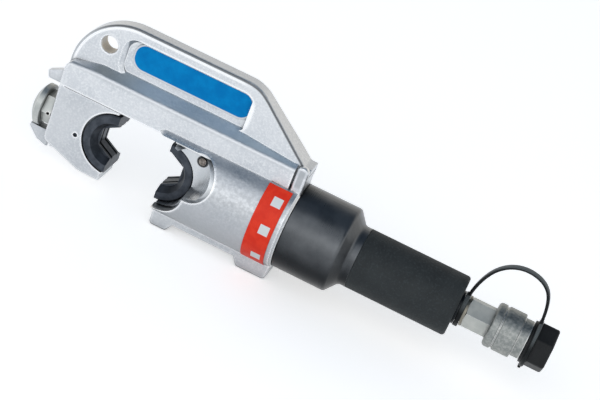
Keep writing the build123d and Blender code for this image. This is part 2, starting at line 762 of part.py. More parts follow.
# Ram: guide, piston, die seat, lock bores and the spring bore
flat_centre = (lock_station + FLAT_FROM_LOCK[0], lock_height + FLAT_FROM_LOCK[1])
half_die = DIE_WIDTH / 2
seal_start = piston_end - WEAR_RING_WIDTH - 2 * SEAL_WIDTH - BACKUP_WIDTH
backup_start = seal_start + SEAL_WIDTH
wear_start = backup_start + BACKUP_WIDTH + SEAL_WIDTH / 2
spring_bore_end = piston_end - SPRING_BORE_LENGTH
retainer_start = piston_end - RETAINER_WIDTH
retainer_radius = SPRING_BORE_RADIUS + RETAINER_STEP
lock_bore_end = LOCK_BACKING + LOCK_SPRING_ROOM
clip_start = -half_die + CLIP_THICKNESS
clip_radius = LOCK_RADIUS + CLIP_STEP
with BuildPart() as ram:
    ram_outline = side_outline(
        (ram_front, 0),
        (ram_front, ram_radius - SMALL_EDGE),
        (ram_front + SMALL_EDGE, ram_radius),
        (-NECK_LENGTH - STOP_GAP, ram_radius),
        (-NECK_LENGTH - STOP_GAP, PISTON_RADIUS),
        (piston_end - SMALL_EDGE, PISTON_RADIUS),
        (piston_end, PISTON_RADIUS - SMALL_EDGE),
        (piston_end, 0),
    )
    revolve(ram_outline, axis=RAM_AXIS)
    seal_groove = ring_outline(
        seal_start, backup_start + BACKUP_WIDTH, PISTON_RADIUS - SEAL_DEPTH, ram_radius
    )
    revolve(seal_groove, axis=RAM_AXIS, mode=Mode.SUBTRACT)
    wear_groove = ring_outline(
        wear_start, wear_start + WEAR_RING_WIDTH, PISTON_RADIUS - WEAR_RING_DEPTH, ram_radius
    )
    revolve(wear_groove, axis=RAM_AXIS, mode=Mode.SUBTRACT)
    add(disc(spring_bore_end, SPRING_BORE_LENGTH, SPRING_BORE_RADIUS), mode=Mode.SUBTRACT)
    add(disc(retainer_start, RETAINER_WIDTH, retainer_radius), mode=Mode.SUBTRACT)
    with BuildSketch(SIDE):
        with Locations((moving_face, 0)):
            Circle(DIE_RADIUS + SEAT_FIT)
    extrude(amount=ram_radius, both=True, mode=Mode.SUBTRACT)
    with BuildSketch(SIDE.offset(half_die)):
        with Locations(flat_centre):
            Circle(FLAT_RADIUS)
    extrude(amount=ram_radius, taper=-FLAT_TAPER, mode=Mode.SUBTRACT)
    lock_bore = cross_rod(lock_station, lock_height, LOCK_RADIUS + SLIDE_FIT, lock_bore_end, -ram_radius)
    add(lock_bore, mode=Mode.SUBTRACT)
    clip_groove = cross_rod(lock_station, lock_height, clip_radius, clip_start + CLIP_THICKNESS, clip_start)
    add(clip_groove, mode=Mode.SUBTRACT)
    with BuildSketch(plunger_plane(DIE_RADIUS - PLUNGER_BITE)):
        Circle(PLUNGER_RADIUS + SLIDE_FIT)
    extrude(amount=lock_distance - DIE_RADIUS + PLUNGER_BITE, mode=Mode.SUBTRACT)
    key_half = KEY_RADIUS + SLIDE_FIT
    with BuildSketch(Plane(origin=(rear_face - KEY_STATION, 0, AXIS_POINT[2] - ram_radius))):
        with Locations((STROKE / 2, 0)):
            SlotCenterToCenter(STROKE + 2 * STOP_GAP, 2 * key_half)
    extrude(amount=KEY_DEPTH, mode=Mode.SUBTRACT)
save(ram, "ram")

# Rings on the piston
seal_outer = PISTON_RADIUS + PISTON_FIT / 2
with BuildPart() as piston_seal:
    revolve(ring_outline(seal_start, backup_start, PISTON_RADIUS - SEAL_DEPTH, seal_outer), axis=RAM_AXIS)
save(piston_seal, "piston_seal")

with BuildPart() as backup_ring:
    revolve(
        ring_outline(backup_start, backup_start + BACKUP_WIDTH, PISTON_RADIUS - SEAL_DEPTH, seal_outer),
        axis=RAM_AXIS,
    )
save(backup_ring, "backup_ring")

with BuildPart() as wear_ring:
    revolve(
        ring_outline(wear_start, wear_start + WEAR_RING_WIDTH, PISTON_RADIUS - WEAR_RING_DEPTH, seal_outer),
        axis=RAM_AXIS,
    )
save(wear_ring, "wear_ring")

# Wiper in the barrel and the screw that keeps the ram from turning
with BuildPart() as ram_wiper:
    revolve(
        ring_outline(
            -WIPER_STATION, -WIPER_STATION + WIPER_WIDTH, ram_radius + RAM_FIT / 2, ram_bore + WIPER_DEPTH
        ),
        axis=RAM_AXIS,
    )
save(ram_wiper, "ram_wiper")

key_bottom = AXIS_POINT[2] + keel_bottom + SMALL_EDGE
key_shoulder = AXIS_POINT[2] - ram_bore - STOP_GAP
key_top = AXIS_POINT[2] - ram_radius + KEY_DEPTH - STOP_GAP
with BuildPart() as guide_screw:
    with BuildSketch(Plane(origin=(rear_face - KEY_STATION, 0, key_bottom))):
        Circle(KEY_SCREW_RADIUS)
    extrude(amount=key_shoulder - key_bottom)
    with BuildSketch(Plane(origin=(rear_face - KEY_STATION, 0, key_shoulder))):
        Circle(KEY_RADIUS)
    extrude(amount=key_top - key_shoulder)
    with BuildSketch(Plane(origin=(rear_face - KEY_STATION, 0, key_bottom))):
        RegularPolygon(KEY_SCREW_RADIUS / 2, 6, major_radius=False)
    extrude(amount=(key_shoulder - key_bottom) / 2, mode=Mode.SUBTRACT)
save(guide_screw, "guide_screw")

# Spring retainer at the rear of the ram
with BuildPart() as spring_retainer:
    revolve(
        ring_outline(retainer_start, piston_end, BOLT_RADIUS + LOOSE_FIT, retainer_radius),
        axis=RAM_AXIS,
    )
save(spring_retainer, "spring_retainer")

# Die lock in the ram: plunger, push pin with a waist, clip and spring
plunger_start = DIE_RADIUS - PLUNGER_BITE
plunger_end = lock_distance - LOCK_RADIUS - SLIDE_FIT
with BuildPart() as lock_plunger:
    with BuildSketch(plunger_plane(plunger_start)):
        Circle(PLUNGER_RADIUS)
    extrude(amount=plunger_end - plunger_start)
save(lock_plunger, "lock_plunger")

waist_start = -LOCK_BACKING
waist_end = waist_start - LOCK_TRAVEL - 2 * SLIDE_FIT
waist_radius = LOCK_RADIUS / 2
with BuildPart() as lock_pin:
    add(cross_rod(lock_station, lock_height, LOCK_RADIUS, LOCK_BACKING, waist_start))
    add(cross_rod(lock_station, lock_height, waist_radius, waist_start, waist_end))
    add(cross_rod(lock_station, lock_height, LOCK_RADIUS, waist_end, clip_start + CLIP_THICKNESS + SLIDE_FIT))
    add(
        cross_rod(
            lock_station,
            lock_height,
            BUTTON_RADIUS,
            clip_start + CLIP_THICKNESS + SLIDE_FIT,
            -half_die - CLIP_THICKNESS,
        )
    )
save(lock_pin, "lock_pin")

with BuildPart() as lock_clip:
    add(cross_rod(lock_station, lock_height, clip_radius, clip_start + CLIP_THICKNESS, clip_start))
    bore = cross_rod(
        lock_station, lock_height, BUTTON_RADIUS + SLIDE_FIT, clip_start + CLIP_THICKNESS, clip_start
    )
    add(bore, mode=Mode.SUBTRACT)
save(lock_clip, "lock_clip")

lock_spring_plane = Plane(
    origin=(rear_face + lock_station, LOCK_BACKING, AXIS_POINT[2] + lock_height), z_dir=(0, 1, 0)
)
with BuildPart() as lock_spring:
    add(coil(lock_spring_plane, LOCK_SPRING_ROOM, LOCK_RADIUS - LOCK_WIRE, LOCK_WIRE, LOCK_TURNS))
save(lock_spring, "lock_spring")

# Die latch in the fixed jaw: bush, pin, knob, spring and the pin that stops it
bush_shank_end = jaw_end + BUSH_SHANK
bush_bore = BUSH_RADIUS - BUSH_WALL
bush_bore_start = bush_end + BUSH_END_WALL
with BuildPart() as latch_bush:
    add(hexagon(bush_end, BUSH_HEAD, BUSH_FLATS))
    add(disc(jaw_end, BUSH_SHANK, BUSH_RADIUS))
    add(disc(bush_bore_start, bush_shank_end - bush_bore_start, bush_bore), mode=Mode.SUBTRACT)
    add(disc(bush_end, BUSH_END_WALL, LATCH_TAIL_RADIUS + SLIDE_FIT), mode=Mode.SUBTRACT)
    bush_hole = cross_rod((bush_bore_start + jaw_end) / 2, 0, BUSH_HOLE_RADIUS, 0, -BUSH_FLATS)
    add(bush_hole, mode=Mode.SUBTRACT)
save(latch_bush, "latch_bush")

latch_tip = fixed_face - DIE_RADIUS + LATCH_BITE
latch_shoulder = bush_shank_end
knob_face = latch_knob_start - KNOB_RIM
slot_start = stop_pin_station - STOP_PIN_RADIUS - STOP_GAP
slot_end = stop_pin_station + STOP_PIN_RADIUS + LATCH_TRAVEL + STOP_GAP
slot_height = stop_pin_height + STOP_PIN_RADIUS + SLIDE_FIT
with BuildPart() as latch_pin:
    latch_outline = side_outline(
        (knob_face, 0),
        (knob_face, LATCH_TAIL_RADIUS),
        (latch_shoulder, LATCH_TAIL_RADIUS),
        (latch_shoulder, LATCH_RADIUS),
        (latch_tip - SMALL_EDGE, LATCH_RADIUS),
        (latch_tip, LATCH_RADIUS - SMALL_EDGE),
        (latch_tip, 0),
    )
    revolve(latch_outline, axis=RAM_AXIS)
    slot = side_outline(
        (slot_start, slot_height),
        (slot_end, slot_height),
        (slot_end, -2 * LATCH_RADIUS),
        (slot_start, -2 * LATCH_RADIUS),
    )
    extrude(slot, amount=LATCH_RADIUS, both=True, mode=Mode.SUBTRACT)
save(latch_pin, "latch_pin")

dome_radius = (KNOB_RADIUS**2 + KNOB_DOME**2) / (2 * KNOB_DOME)
dome_half_angle = atan2(KNOB_DOME, KNOB_RADIUS)
dome_middle = (front_end + dome_radius * (1 - cos(dome_half_angle)), dome_radius * sin(dome_half_angle))
with BuildPart() as latch_knob:
    with BuildSketch(SIDE):
        with BuildLine():
            Polyline(
                (front_end, 0),
                (latch_knob_start, 0),
                (latch_knob_start, KNOB_RADIUS - SMALL_EDGE),
                (latch_knob_start - SMALL_EDGE, KNOB_RADIUS),
                (knob_face, KNOB_RADIUS),
            )
            ThreePointArc((knob_face, KNOB_RADIUS), dome_middle, (front_end, 0))
        make_face()
    revolve(axis=RAM_AXIS)
    add(disc(knob_face, KNOB_RIM, LATCH_TAIL_RADIUS), mode=Mode.SUBTRACT)
save(latch_knob, "latch_knob")

with BuildPart() as latch_spring:
    add(
        coil(
            CROSS.offset(bush_bore_start),
            latch_shoulder - bush_bore_start,
            (LATCH_TAIL_RADIUS + LATCH_RADIUS) / 2 + LOOSE_FIT,
            LATCH_WIRE,
            LATCH_TURNS,
        )
    )
save(latch_spring, "latch_spring")

half_stop_pin = half_jaw - STOP_PIN_RECESS
with BuildPart() as latch_stop_pin:
    add(cross_rod(stop_pin_station, stop_pin_height, STOP_PIN_RADIUS, half_stop_pin, -half_stop_pin))
save(latch_stop_pin, "latch_stop_pin")

# Name plates and the band round the barrel
plate_length = POCKET_LENGTH - PLATE_FRONT_GAP - PLATE_GAP
plate_centre = -POCKET_REAR - PLATE_GAP - plate_length / 2
plate_middle = pocket_top - PLATE_GAP - PLATE_HEIGHT / 2
with BuildPart() as name_plate_near:
    with BuildSketch(SIDE.offset(pocket_floor)):
        with Locations((plate_centre, plate_middle)):
            RectangleRounded(plate_length, PLATE_HEIGHT, PLATE_ROUND)
    extrude(amount=PLATE_THICKNESS)
save(name_plate_near, "name_plate_near")

with BuildPart() as name_plate_far:
    with BuildSketch(SIDE.offset(-pocket_floor)):
        with Locations((plate_centre, plate_middle)):
            RectangleRounded(plate_length, PLATE_HEIGHT, PLATE_ROUND)
    extrude(amount=-PLATE_THICKNESS)
save(name_plate_far, "name_plate_far")

band_start = 180 - BAND_HALF_ANGLE
band_inner = barrel_radius + BAND_FIT
band_outer = band_inner + BAND_THICKNESS
with BuildPart() as barrel_band:
    with BuildSketch(CROSS.offset(-BAND_OFFSET - BAND_WIDTH)):
        with BuildLine():
            inner_arc = CenterArc((0, 0), band_inner, band_start, 2 * BAND_HALF_ANGLE)
            outer_arc = CenterArc((0, 0), band_outer, band_start, 2 * BAND_HALF_ANGLE)
            Line(inner_arc @ 0, outer_arc @ 0)
            Line(inner_arc @ 1, outer_arc @ 1)
        make_face()
    extrude(amount=BAND_WIDTH)
save(barrel_band, "barrel_band")

# Cylinder: neck, body, floor and the tube under the grip
tube_radius = GRIP_RADIUS - GRIP_WALL
tube_end = grip_end - GRIP_LIP
port_start = boss_end - STUB_LENGTH + STRAP_RING_WIDTH + WASHER_WIDTH
piston_bore = PISTON_RADIUS + PISTON_FIT
with BuildPart() as cylinder:
    with BuildSketch(SIDE) as cylinder_outline:
        with BuildLine():
            Polyline(
                (-NECK_LENGTH, 0),
                (-NECK_LENGTH, neck_radius),
                (0, neck_radius),
                (0, cylinder_radius - SMALL_EDGE),
                (SMALL_EDGE, cylinder_radius),
                (CYLINDER_LENGTH, cylinder_radius),
                (cone_end, GRIP_RADIUS),
                (grip_start, GRIP_RADIUS),
                (grip_start, tube_radius),
                (tube_end, tube_radius),
                (tube_end, BOSS_RADIUS),
                (boss_end, BOSS_RADIUS),
                (boss_end, 0),
                close=True,
            )
        make_face()
        fillet(corner(cylinder_outline, CYLINDER_LENGTH, cylinder_radius), CONE_ROUND)
        fillet(corner(cylinder_outline, cone_end, GRIP_RADIUS), CONE_FOOT_ROUND)
    revolve(axis=RAM_AXIS)
    add(disc(-NECK_LENGTH, NECK_LENGTH + bore_end, piston_bore), mode=Mode.SUBTRACT)
    add(disc(bore_end, FLOOR_THICKNESS, BOLT_RADIUS), mode=Mode.SUBTRACT)
    add(disc(cone_end, port_start - cone_end, OIL_RADIUS), mode=Mode.SUBTRACT)
    add(disc(port_start, boss_end - port_start, STUB_RADIUS + THREAD_FIT), mode=Mode.SUBTRACT)
save(cylinder, "cylinder")

# Spring bolt: a rod through the return spring, drilled for the oil
bolt_head_start = spring_bore_end + BOLT_HEAD_GAP
bolt_head_end = bolt_head_start + BOLT_HEAD_LENGTH
with BuildPart() as spring_bolt:
    add(disc(bolt_head_start, BOLT_HEAD_LENGTH, BOLT_HEAD_RADIUS))
    add(disc(bolt_head_end, cone_end - bolt_head_end, BOLT_RADIUS))
    oil_hole_start = piston_end - SMALL_EDGE
    add(disc(oil_hole_start, cone_end - oil_hole_start, BOLT_OIL_RADIUS), mode=Mode.SUBTRACT)
    oil_cross_hole = cross_rod(piston_end + PISTON_END_GAP / 2, 0, BOLT_OIL_RADIUS, BOLT_RADIUS, -BOLT_RADIUS)
    add(oil_cross_hole, mode=Mode.SUBTRACT)
save(spring_bolt, "spring_bolt")

with BuildPart() as return_spring:
    add(
        coil(
            CROSS.offset(bolt_head_end),
            retainer_start - bolt_head_end,
            SPRING_BORE_RADIUS - RETURN_WIRE,
            RETURN_WIRE,
            RETURN_TURNS,
        )
    )
save(return_spring, "return_spring")

# Rubber grip, with a lip over the end of the tube
with BuildPart() as grip_sleeve:
    grip_outline = side_outline(
        (grip_start, tube_radius),
        (grip_start, GRIP_RADIUS),
        (grip_end, GRIP_RADIUS),
        (grip_end, BOSS_RADIUS),
        (tube_end, BOSS_RADIUS),
        (tube_end, tube_radius),
    )
    revolve(grip_outline, axis=RAM_AXIS)
    fillet(rims(grip_sleeve, GRIP_RADIUS)[-1], GRIP_ROUND)
    fillet(rims(grip_sleeve, GRIP_RADIUS)[0], SMALL_EDGE)
save(grip_sleeve, "grip_sleeve")

# Sealing washer and inlet nipple
with BuildPart() as sealing_washer:
    revolve(ring_outline(washer_start, hex_start, STUB_RADIUS, WASHER_RADIUS), axis=RAM_AXIS)
save(sealing_washer, "sealing_washer")

stub_start = hex_start - STUB_LENGTH
front_stub_end = hex_end + FRONT_STUB_LENGTH
spring_pocket_start = hex_end + FRONT_STUB_LENGTH - POPPET_SPRING_POCKET
poppet_spring_radius = CHAMBER_RADIUS - POPPET_WALL - POPPET_WIRE
with BuildPart() as inlet_nipple:
    add(disc(stub_start, STUB_LENGTH, STUB_RADIUS))
    add(hexagon(hex_start, HEX_LENGTH, HEX_FLATS, HEX_TURN))
    hex_chamfer = side_outline(
        (hex_start, HEX_FLATS / 2),
        (hex_start, HEX_FLATS),
        (hex_start + HEX_FLATS / 4, HEX_FLATS),
    )
    revolve(hex_chamfer, axis=RAM_AXIS, mode=Mode.SUBTRACT)
    add(disc(hex_end, FRONT_STUB_LENGTH, FRONT_STUB_RADIUS))
    add(disc(stub_start, front_stub_end - stub_start, OIL_RADIUS), mode=Mode.SUBTRACT)
    spring_pocket = disc(spring_pocket_start, POPPET_SPRING_POCKET, CHAMBER_RADIUS - POPPET_WALL)
    add(spring_pocket, mode=Mode.SUBTRACT)
save(inlet_nipple, "inlet_nipple")

# Coupler body, with the valve chamber, its seat and the hose socket
poppet_radius = CHAMBER_RADIUS - SLIDE_FIT
skirt_start = front_stub_end + VALVE_TRAVEL + STOP_GAP
cone_start = skirt_start + POPPET_SKIRT
chamber_end = cone_start + poppet_radius - SEAT_RADIUS + SLIDE_FIT
socket_start = chamber_end + SEAT_LENGTH
snap_station = collar_start + COLLAR_RIM / 2
seal_station = (socket_start + coupler_end) / 2
seal_inner = SOCKET_RADIUS - SOCKET_SEAL_LIP
seal_middle = seal_inner + SOCKET_SEAL_RADIUS
with BuildPart() as coupler_body:
    coupler_outline = side_outline(
        (hex_end, FRONT_STUB_RADIUS),
        (hex_end, COUPLER_RADIUS),
        (coupler_end - SMALL_EDGE, COUPLER_RADIUS),
        (coupler_end, COUPLER_RADIUS - SMALL_EDGE),
        (coupler_end, SOCKET_RADIUS),
        (socket_start, SOCKET_RADIUS),
        (socket_start, SEAT_RADIUS),
        (chamber_end, SEAT_RADIUS),
        (chamber_end, CHAMBER_RADIUS),
        (front_stub_end, CHAMBER_RADIUS),
        (front_stub_end, FRONT_STUB_RADIUS),
    )
    revolve(coupler_outline, axis=RAM_AXIS)
    snap_groove = groove_outline(snap_station, COUPLER_RADIUS, SNAP_WIRE_RADIUS)
    revolve(snap_groove, axis=RAM_AXIS, mode=Mode.SUBTRACT)
    seal_groove = groove_outline(seal_station, seal_middle, SOCKET_SEAL_RADIUS)
    revolve(seal_groove, axis=RAM_AXIS, mode=Mode.SUBTRACT)
save(coupler_body, "coupler_body")

with BuildPart() as snap_ring:
    revolve(wire_ring(snap_station, COUPLER_RADIUS, SNAP_WIRE_RADIUS), axis=RAM_AXIS)
save(snap_ring, "snap_ring")

with BuildPart() as socket_seal:
    revolve(wire_ring(seal_station, seal_middle, SOCKET_SEAL_RADIUS), axis=RAM_AXIS)
save(socket_seal, "socket_seal")

# Screw collar, which turns on the coupler body
collar_bore = COUPLER_RADIUS + LOOSE_FIT
rim_end = collar_start + COLLAR_RIM
band_front = rim_end + COLLAR_GROOVE
band_end = band_front + COLLAR_BAND
with BuildPart() as coupler_collar:
    collar_outline = side_outline(
        (collar_start, collar_bore),
        (collar_start, COLLAR_RADIUS),
        (rim_end, COLLAR_RADIUS),
        (rim_end, COLLAR_RADIUS - COLLAR_ROUND),
        (band_front, COLLAR_RADIUS - COLLAR_ROUND),
        (band_front, COLLAR_RADIUS),
        (band_end, COLLAR_RADIUS),
        (band_end, COLLAR_NECK_RADIUS),
        (collar_end, COLLAR_NECK_RADIUS),
        (collar_end, collar_bore),
    )
    revolve(collar_outline, axis=RAM_AXIS)
    fillet(rims(coupler_collar, COLLAR_RADIUS)[1:], COLLAR_ROUND - SEAT_FIT)
    fillet(rims(coupler_collar, COLLAR_RADIUS)[0], COLLAR_BULGE)
    snap_room = groove_outline(snap_station, COUPLER_RADIUS, SNAP_WIRE_RADIUS + LOOSE_FIT)
    revolve(snap_room, axis=RAM_AXIS, mode=Mode.SUBTRACT)
save(coupler_collar, "coupler_collar")

# Valve poppet and its spring
cone_end_station = cone_start + poppet_radius - POPPET_NOSE_RADIUS
skirt_inner = poppet_radius - POPPET_WALL
nose_end = socket_start + SEAT_LENGTH
with BuildPart() as poppet:
    poppet_outline = side_outline(
        (skirt_start, skirt_inner),
        (skirt_start, poppet_radius),
        (cone_start, poppet_radius),
        (cone_end_station, POPPET_NOSE_RADIUS),
        (nose_end, POPPET_NOSE_RADIUS),
        (nose_end, 0),
        (cone_start, 0),
        (cone_start, skirt_inner),
    )
    revolve(poppet_outline, axis=RAM_AXIS)
save(poppet, "poppet")

with BuildPart() as poppet_spring:
    add(
        coil(
            CROSS.offset(spring_pocket_start),
            cone_start - spring_pocket_start,
            poppet_spring_radius,
            POPPET_WIRE,
            POPPET_TURNS,
        )
    )
save(poppet_spring, "poppet_spring")

# Dust cap: plug, flange, neck for the strap and a six-sided knob
with BuildPart() as dust_cap:
    add(disc(cap_start - CAP_PLUG_LENGTH, CAP_PLUG_LENGTH, seal_inner - SLIDE_FIT))
    add(disc(cap_start, CAP_FLANGE, CAP_FLANGE_RADIUS))
    add(disc(cap_ring_start, knob_start - cap_ring_start, CAP_GROOVE_RADIUS))
    add(hexagon(knob_start, CAP_KNOB_LENGTH, CAP_KNOB_FLATS, CAP_KNOB_TURN))
    knob_edges = [edge for edge in dust_cap.edges() if edge.center().X > rear_face + knob_start + SEAT_FIT]
    fillet([edge for edge in knob_edges if edge.center().X < rear_face + rear_end - SEAT_FIT], CAP_EDGE)
    fillet(dust_cap.edges().group_by(Axis.X)[-1], CAP_ROUND)
save(dust_cap, "dust_cap")

# Cap strap: a ring clamped behind the nipple, an arch, and a ring on the cap's neck
strap_ring_outer = STUB_RADIUS + STRAP_RING_WALL
cap_ring_inner = CAP_GROOVE_RADIUS + LOOSE_FIT
cap_ring_outer = cap_ring_inner + STRAP_CAP_RING_WALL
strap_front = washer_start - STRAP_RING_WIDTH / 2
strap_span = cap_ring_start + CAP_STRAP_RING / 2 - strap_front
arch_path = [(strap_front + along * strap_span, up * STRAP_ARCH_HEIGHT) for along, up in STRAP_ARCH_RATIOS]
with BuildPart() as cap_strap:
    with BuildSketch(SIDE):
        with BuildLine():
            Spline((strap_front, STUB_RADIUS), *arch_path, (strap_front + strap_span, cap_ring_inner))
        trace(line_width=STRAP_THICKNESS)
    extrude(amount=STRAP_WIDTH / 2, both=True)
    revolve(ring_outline(boss_end, washer_start, STUB_RADIUS, strap_ring_outer), axis=RAM_AXIS)
    cap_ring = ring_outline(cap_ring_start, cap_ring_start + CAP_STRAP_RING, cap_ring_inner, cap_ring_outer)
    revolve(cap_ring, axis=RAM_AXIS)
    strap_tab = side_outline(
        (cap_ring_start, -cap_ring_inner),
        (cap_ring_start + STRAP_THICKNESS, -cap_ring_inner),
        (cap_ring_start + STRAP_THICKNESS, -cap_ring_outer - STRAP_TAB),
        (cap_ring_start, -cap_ring_outer - STRAP_TAB),
    )
    extrude(strap_tab, amount=STRAP_WIDTH / 2, both=True)
    add(disc(boss_end, STRAP_RING_WIDTH, STUB_RADIUS), mode=Mode.SUBTRACT)
    add(disc(cap_ring_start, CAP_STRAP_RING, cap_ring_inner), mode=Mode.SUBTRACT)
save(cap_strap, "cap_strap")
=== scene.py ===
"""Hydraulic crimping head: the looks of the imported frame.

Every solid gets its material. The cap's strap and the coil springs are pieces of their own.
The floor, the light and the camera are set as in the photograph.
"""

import math

import bmesh
import bpy
from mathutils import Matrix, Vector


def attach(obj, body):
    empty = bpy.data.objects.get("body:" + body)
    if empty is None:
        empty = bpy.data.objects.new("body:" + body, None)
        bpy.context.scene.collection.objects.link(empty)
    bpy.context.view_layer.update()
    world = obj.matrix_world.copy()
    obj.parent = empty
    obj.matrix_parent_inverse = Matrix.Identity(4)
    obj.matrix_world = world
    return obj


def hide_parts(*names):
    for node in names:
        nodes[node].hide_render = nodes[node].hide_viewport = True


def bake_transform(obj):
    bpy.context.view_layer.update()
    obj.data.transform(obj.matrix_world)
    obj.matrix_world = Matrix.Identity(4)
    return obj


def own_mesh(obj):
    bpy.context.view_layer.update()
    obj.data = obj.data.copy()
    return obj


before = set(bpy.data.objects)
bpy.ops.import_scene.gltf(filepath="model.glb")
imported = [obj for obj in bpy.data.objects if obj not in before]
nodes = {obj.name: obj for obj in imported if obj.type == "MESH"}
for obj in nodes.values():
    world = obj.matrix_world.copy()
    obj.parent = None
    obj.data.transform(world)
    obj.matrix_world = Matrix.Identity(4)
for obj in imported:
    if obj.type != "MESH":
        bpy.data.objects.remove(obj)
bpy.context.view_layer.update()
scene = bpy.context.scene

# The ram axis: x of its station 0 and its height, in metres
MM = 0.001
AXIS_X = 3.075 * MM
AXIS_Z = 42.186 * MM


def sizes(*millimetres):
    """Lengths in metres."""
    return tuple(length * MM for length in millimetres)


def along(*stations):
    """The x of stations in millimetres along the ram axis."""
    return tuple(AXIS_X + station * MM for station in stations)


def above(*heights):
    """The z of heights in millimetres above the ram axis."""
    return tuple(AXIS_Z + height * MM for height in heights)


def place(station, height, y=0.0):
    """A frame point from millimetres along the ram axis, above it and across it."""
    return Vector((AXIS_X + station * MM, y * MM, AXIS_Z + height * MM))


# Values between which most of a noise pattern lies, wide for roughness and narrow for colour
NOISE_SPAN = (0.3, 0.7)
CLOUD_SPAN = (0.35, 0.65)

# Rays that the patterns of edges and hollows send out
EDGE_SAMPLES = 6
HOLLOW_SAMPLES = 8


class Nodes:
    """A node tree, with short calls for the nodes that it is made of."""

    def __init__(self, owner):
        owner.use_nodes = True
        self.tree = owner.node_tree
        self.tree.nodes.clear()

    def node(self, kind, **settings):
        made = self.tree.nodes.new(kind)
        for key, value in settings.items():
            setattr(made, key, value)
        return made

    def link(self, source, target):
        self.tree.links.new(source, target)

    def feed(self, socket, value):
        """Links a socket to another node's output, or sets it to a plain value."""
        if isinstance(value, bpy.types.NodeSocket):
            self.link(value, socket)
        else:
            socket.default_value = value

    def math(self, operation, *values):
        made = self.node("ShaderNodeMath", operation=operation)
        for socket, value in zip(made.inputs, values):
            self.feed(socket, value)
        return made.outputs[0]

    def minus(self, first, second):
        return self.math("SUBTRACT", first, second)

    def apart(self, value, middle):
        """How far a value lies from a middle, to either side."""
        return self.math("ABSOLUTE", self.minus(value, middle))

    def product(self, first, *others):
        """All the values multiplied together."""
        result = first
        for other in others:
            result = self.math("MULTIPLY", result, other)
        return result

    def length(self, across, up):
        """The length of a flat vector."""
        flat = self.node("ShaderNodeCombineXYZ")
        self.link(across, flat.inputs[0])
        self.link(up, flat.inputs[1])
        size = self.node("ShaderNodeVectorMath", operation="LENGTH")
        self.link(flat.outputs[0], size.inputs[0])
        return size.outputs["Value"]

    def parts(self, vector):
        """The x, y and z of a vector."""
        made = self.node("ShaderNodeSeparateXYZ")
        self.link(vector, made.inputs[0])
        return made.outputs

    def spread(self, value, low, high, to_low=0.0, to_high=1.0):
        """Maps a range of one value smoothly onto another range, without going past its ends."""
        made = self.node("ShaderNodeMapRange", interpolation_type="SMOOTHSTEP")
        for socket, setting in zip(made.inputs, (value, low, high, to_low, to_high)):
            self.feed(socket, setting)
        return made.outputs[0]

    def fall(self, value, low, high, top=1.0):
        """Falls smoothly from a top to 0 as a value goes over a range."""
        return self.spread(value, low, high, top, 0.0)

    def band(self, value, limits, top=1.0):
        """Rises from 0 over the first two limits, and falls from a top to 0 over the last two."""
        rise_start, rise_end, fall_start, fall_end = limits
        rising = self.spread(value, rise_start, rise_end)
        return self.product(rising, self.fall(value, fall_start, fall_end, top))

    def mix(self, factor, first, second):
        """A colour between two colours."""
        made = self.node("ShaderNodeMix", data_type="RGBA")
        self.feed(made.inputs[0], factor)
        for socket, colour in ((made.inputs[6], first), (made.inputs[7], second)):
            plain = not isinstance(colour, bpy.types.NodeSocket)
            self.feed(socket, (*colour, 1.0) if plain else colour)
        return made.outputs[2]

    def layered(self, base, *layers):
        """A base colour with other colours laid over it in turn, each by its own factor."""
        shown = base
        for factor, colour in layers:
            shown = self.mix(factor, shown, colour)
        return shown


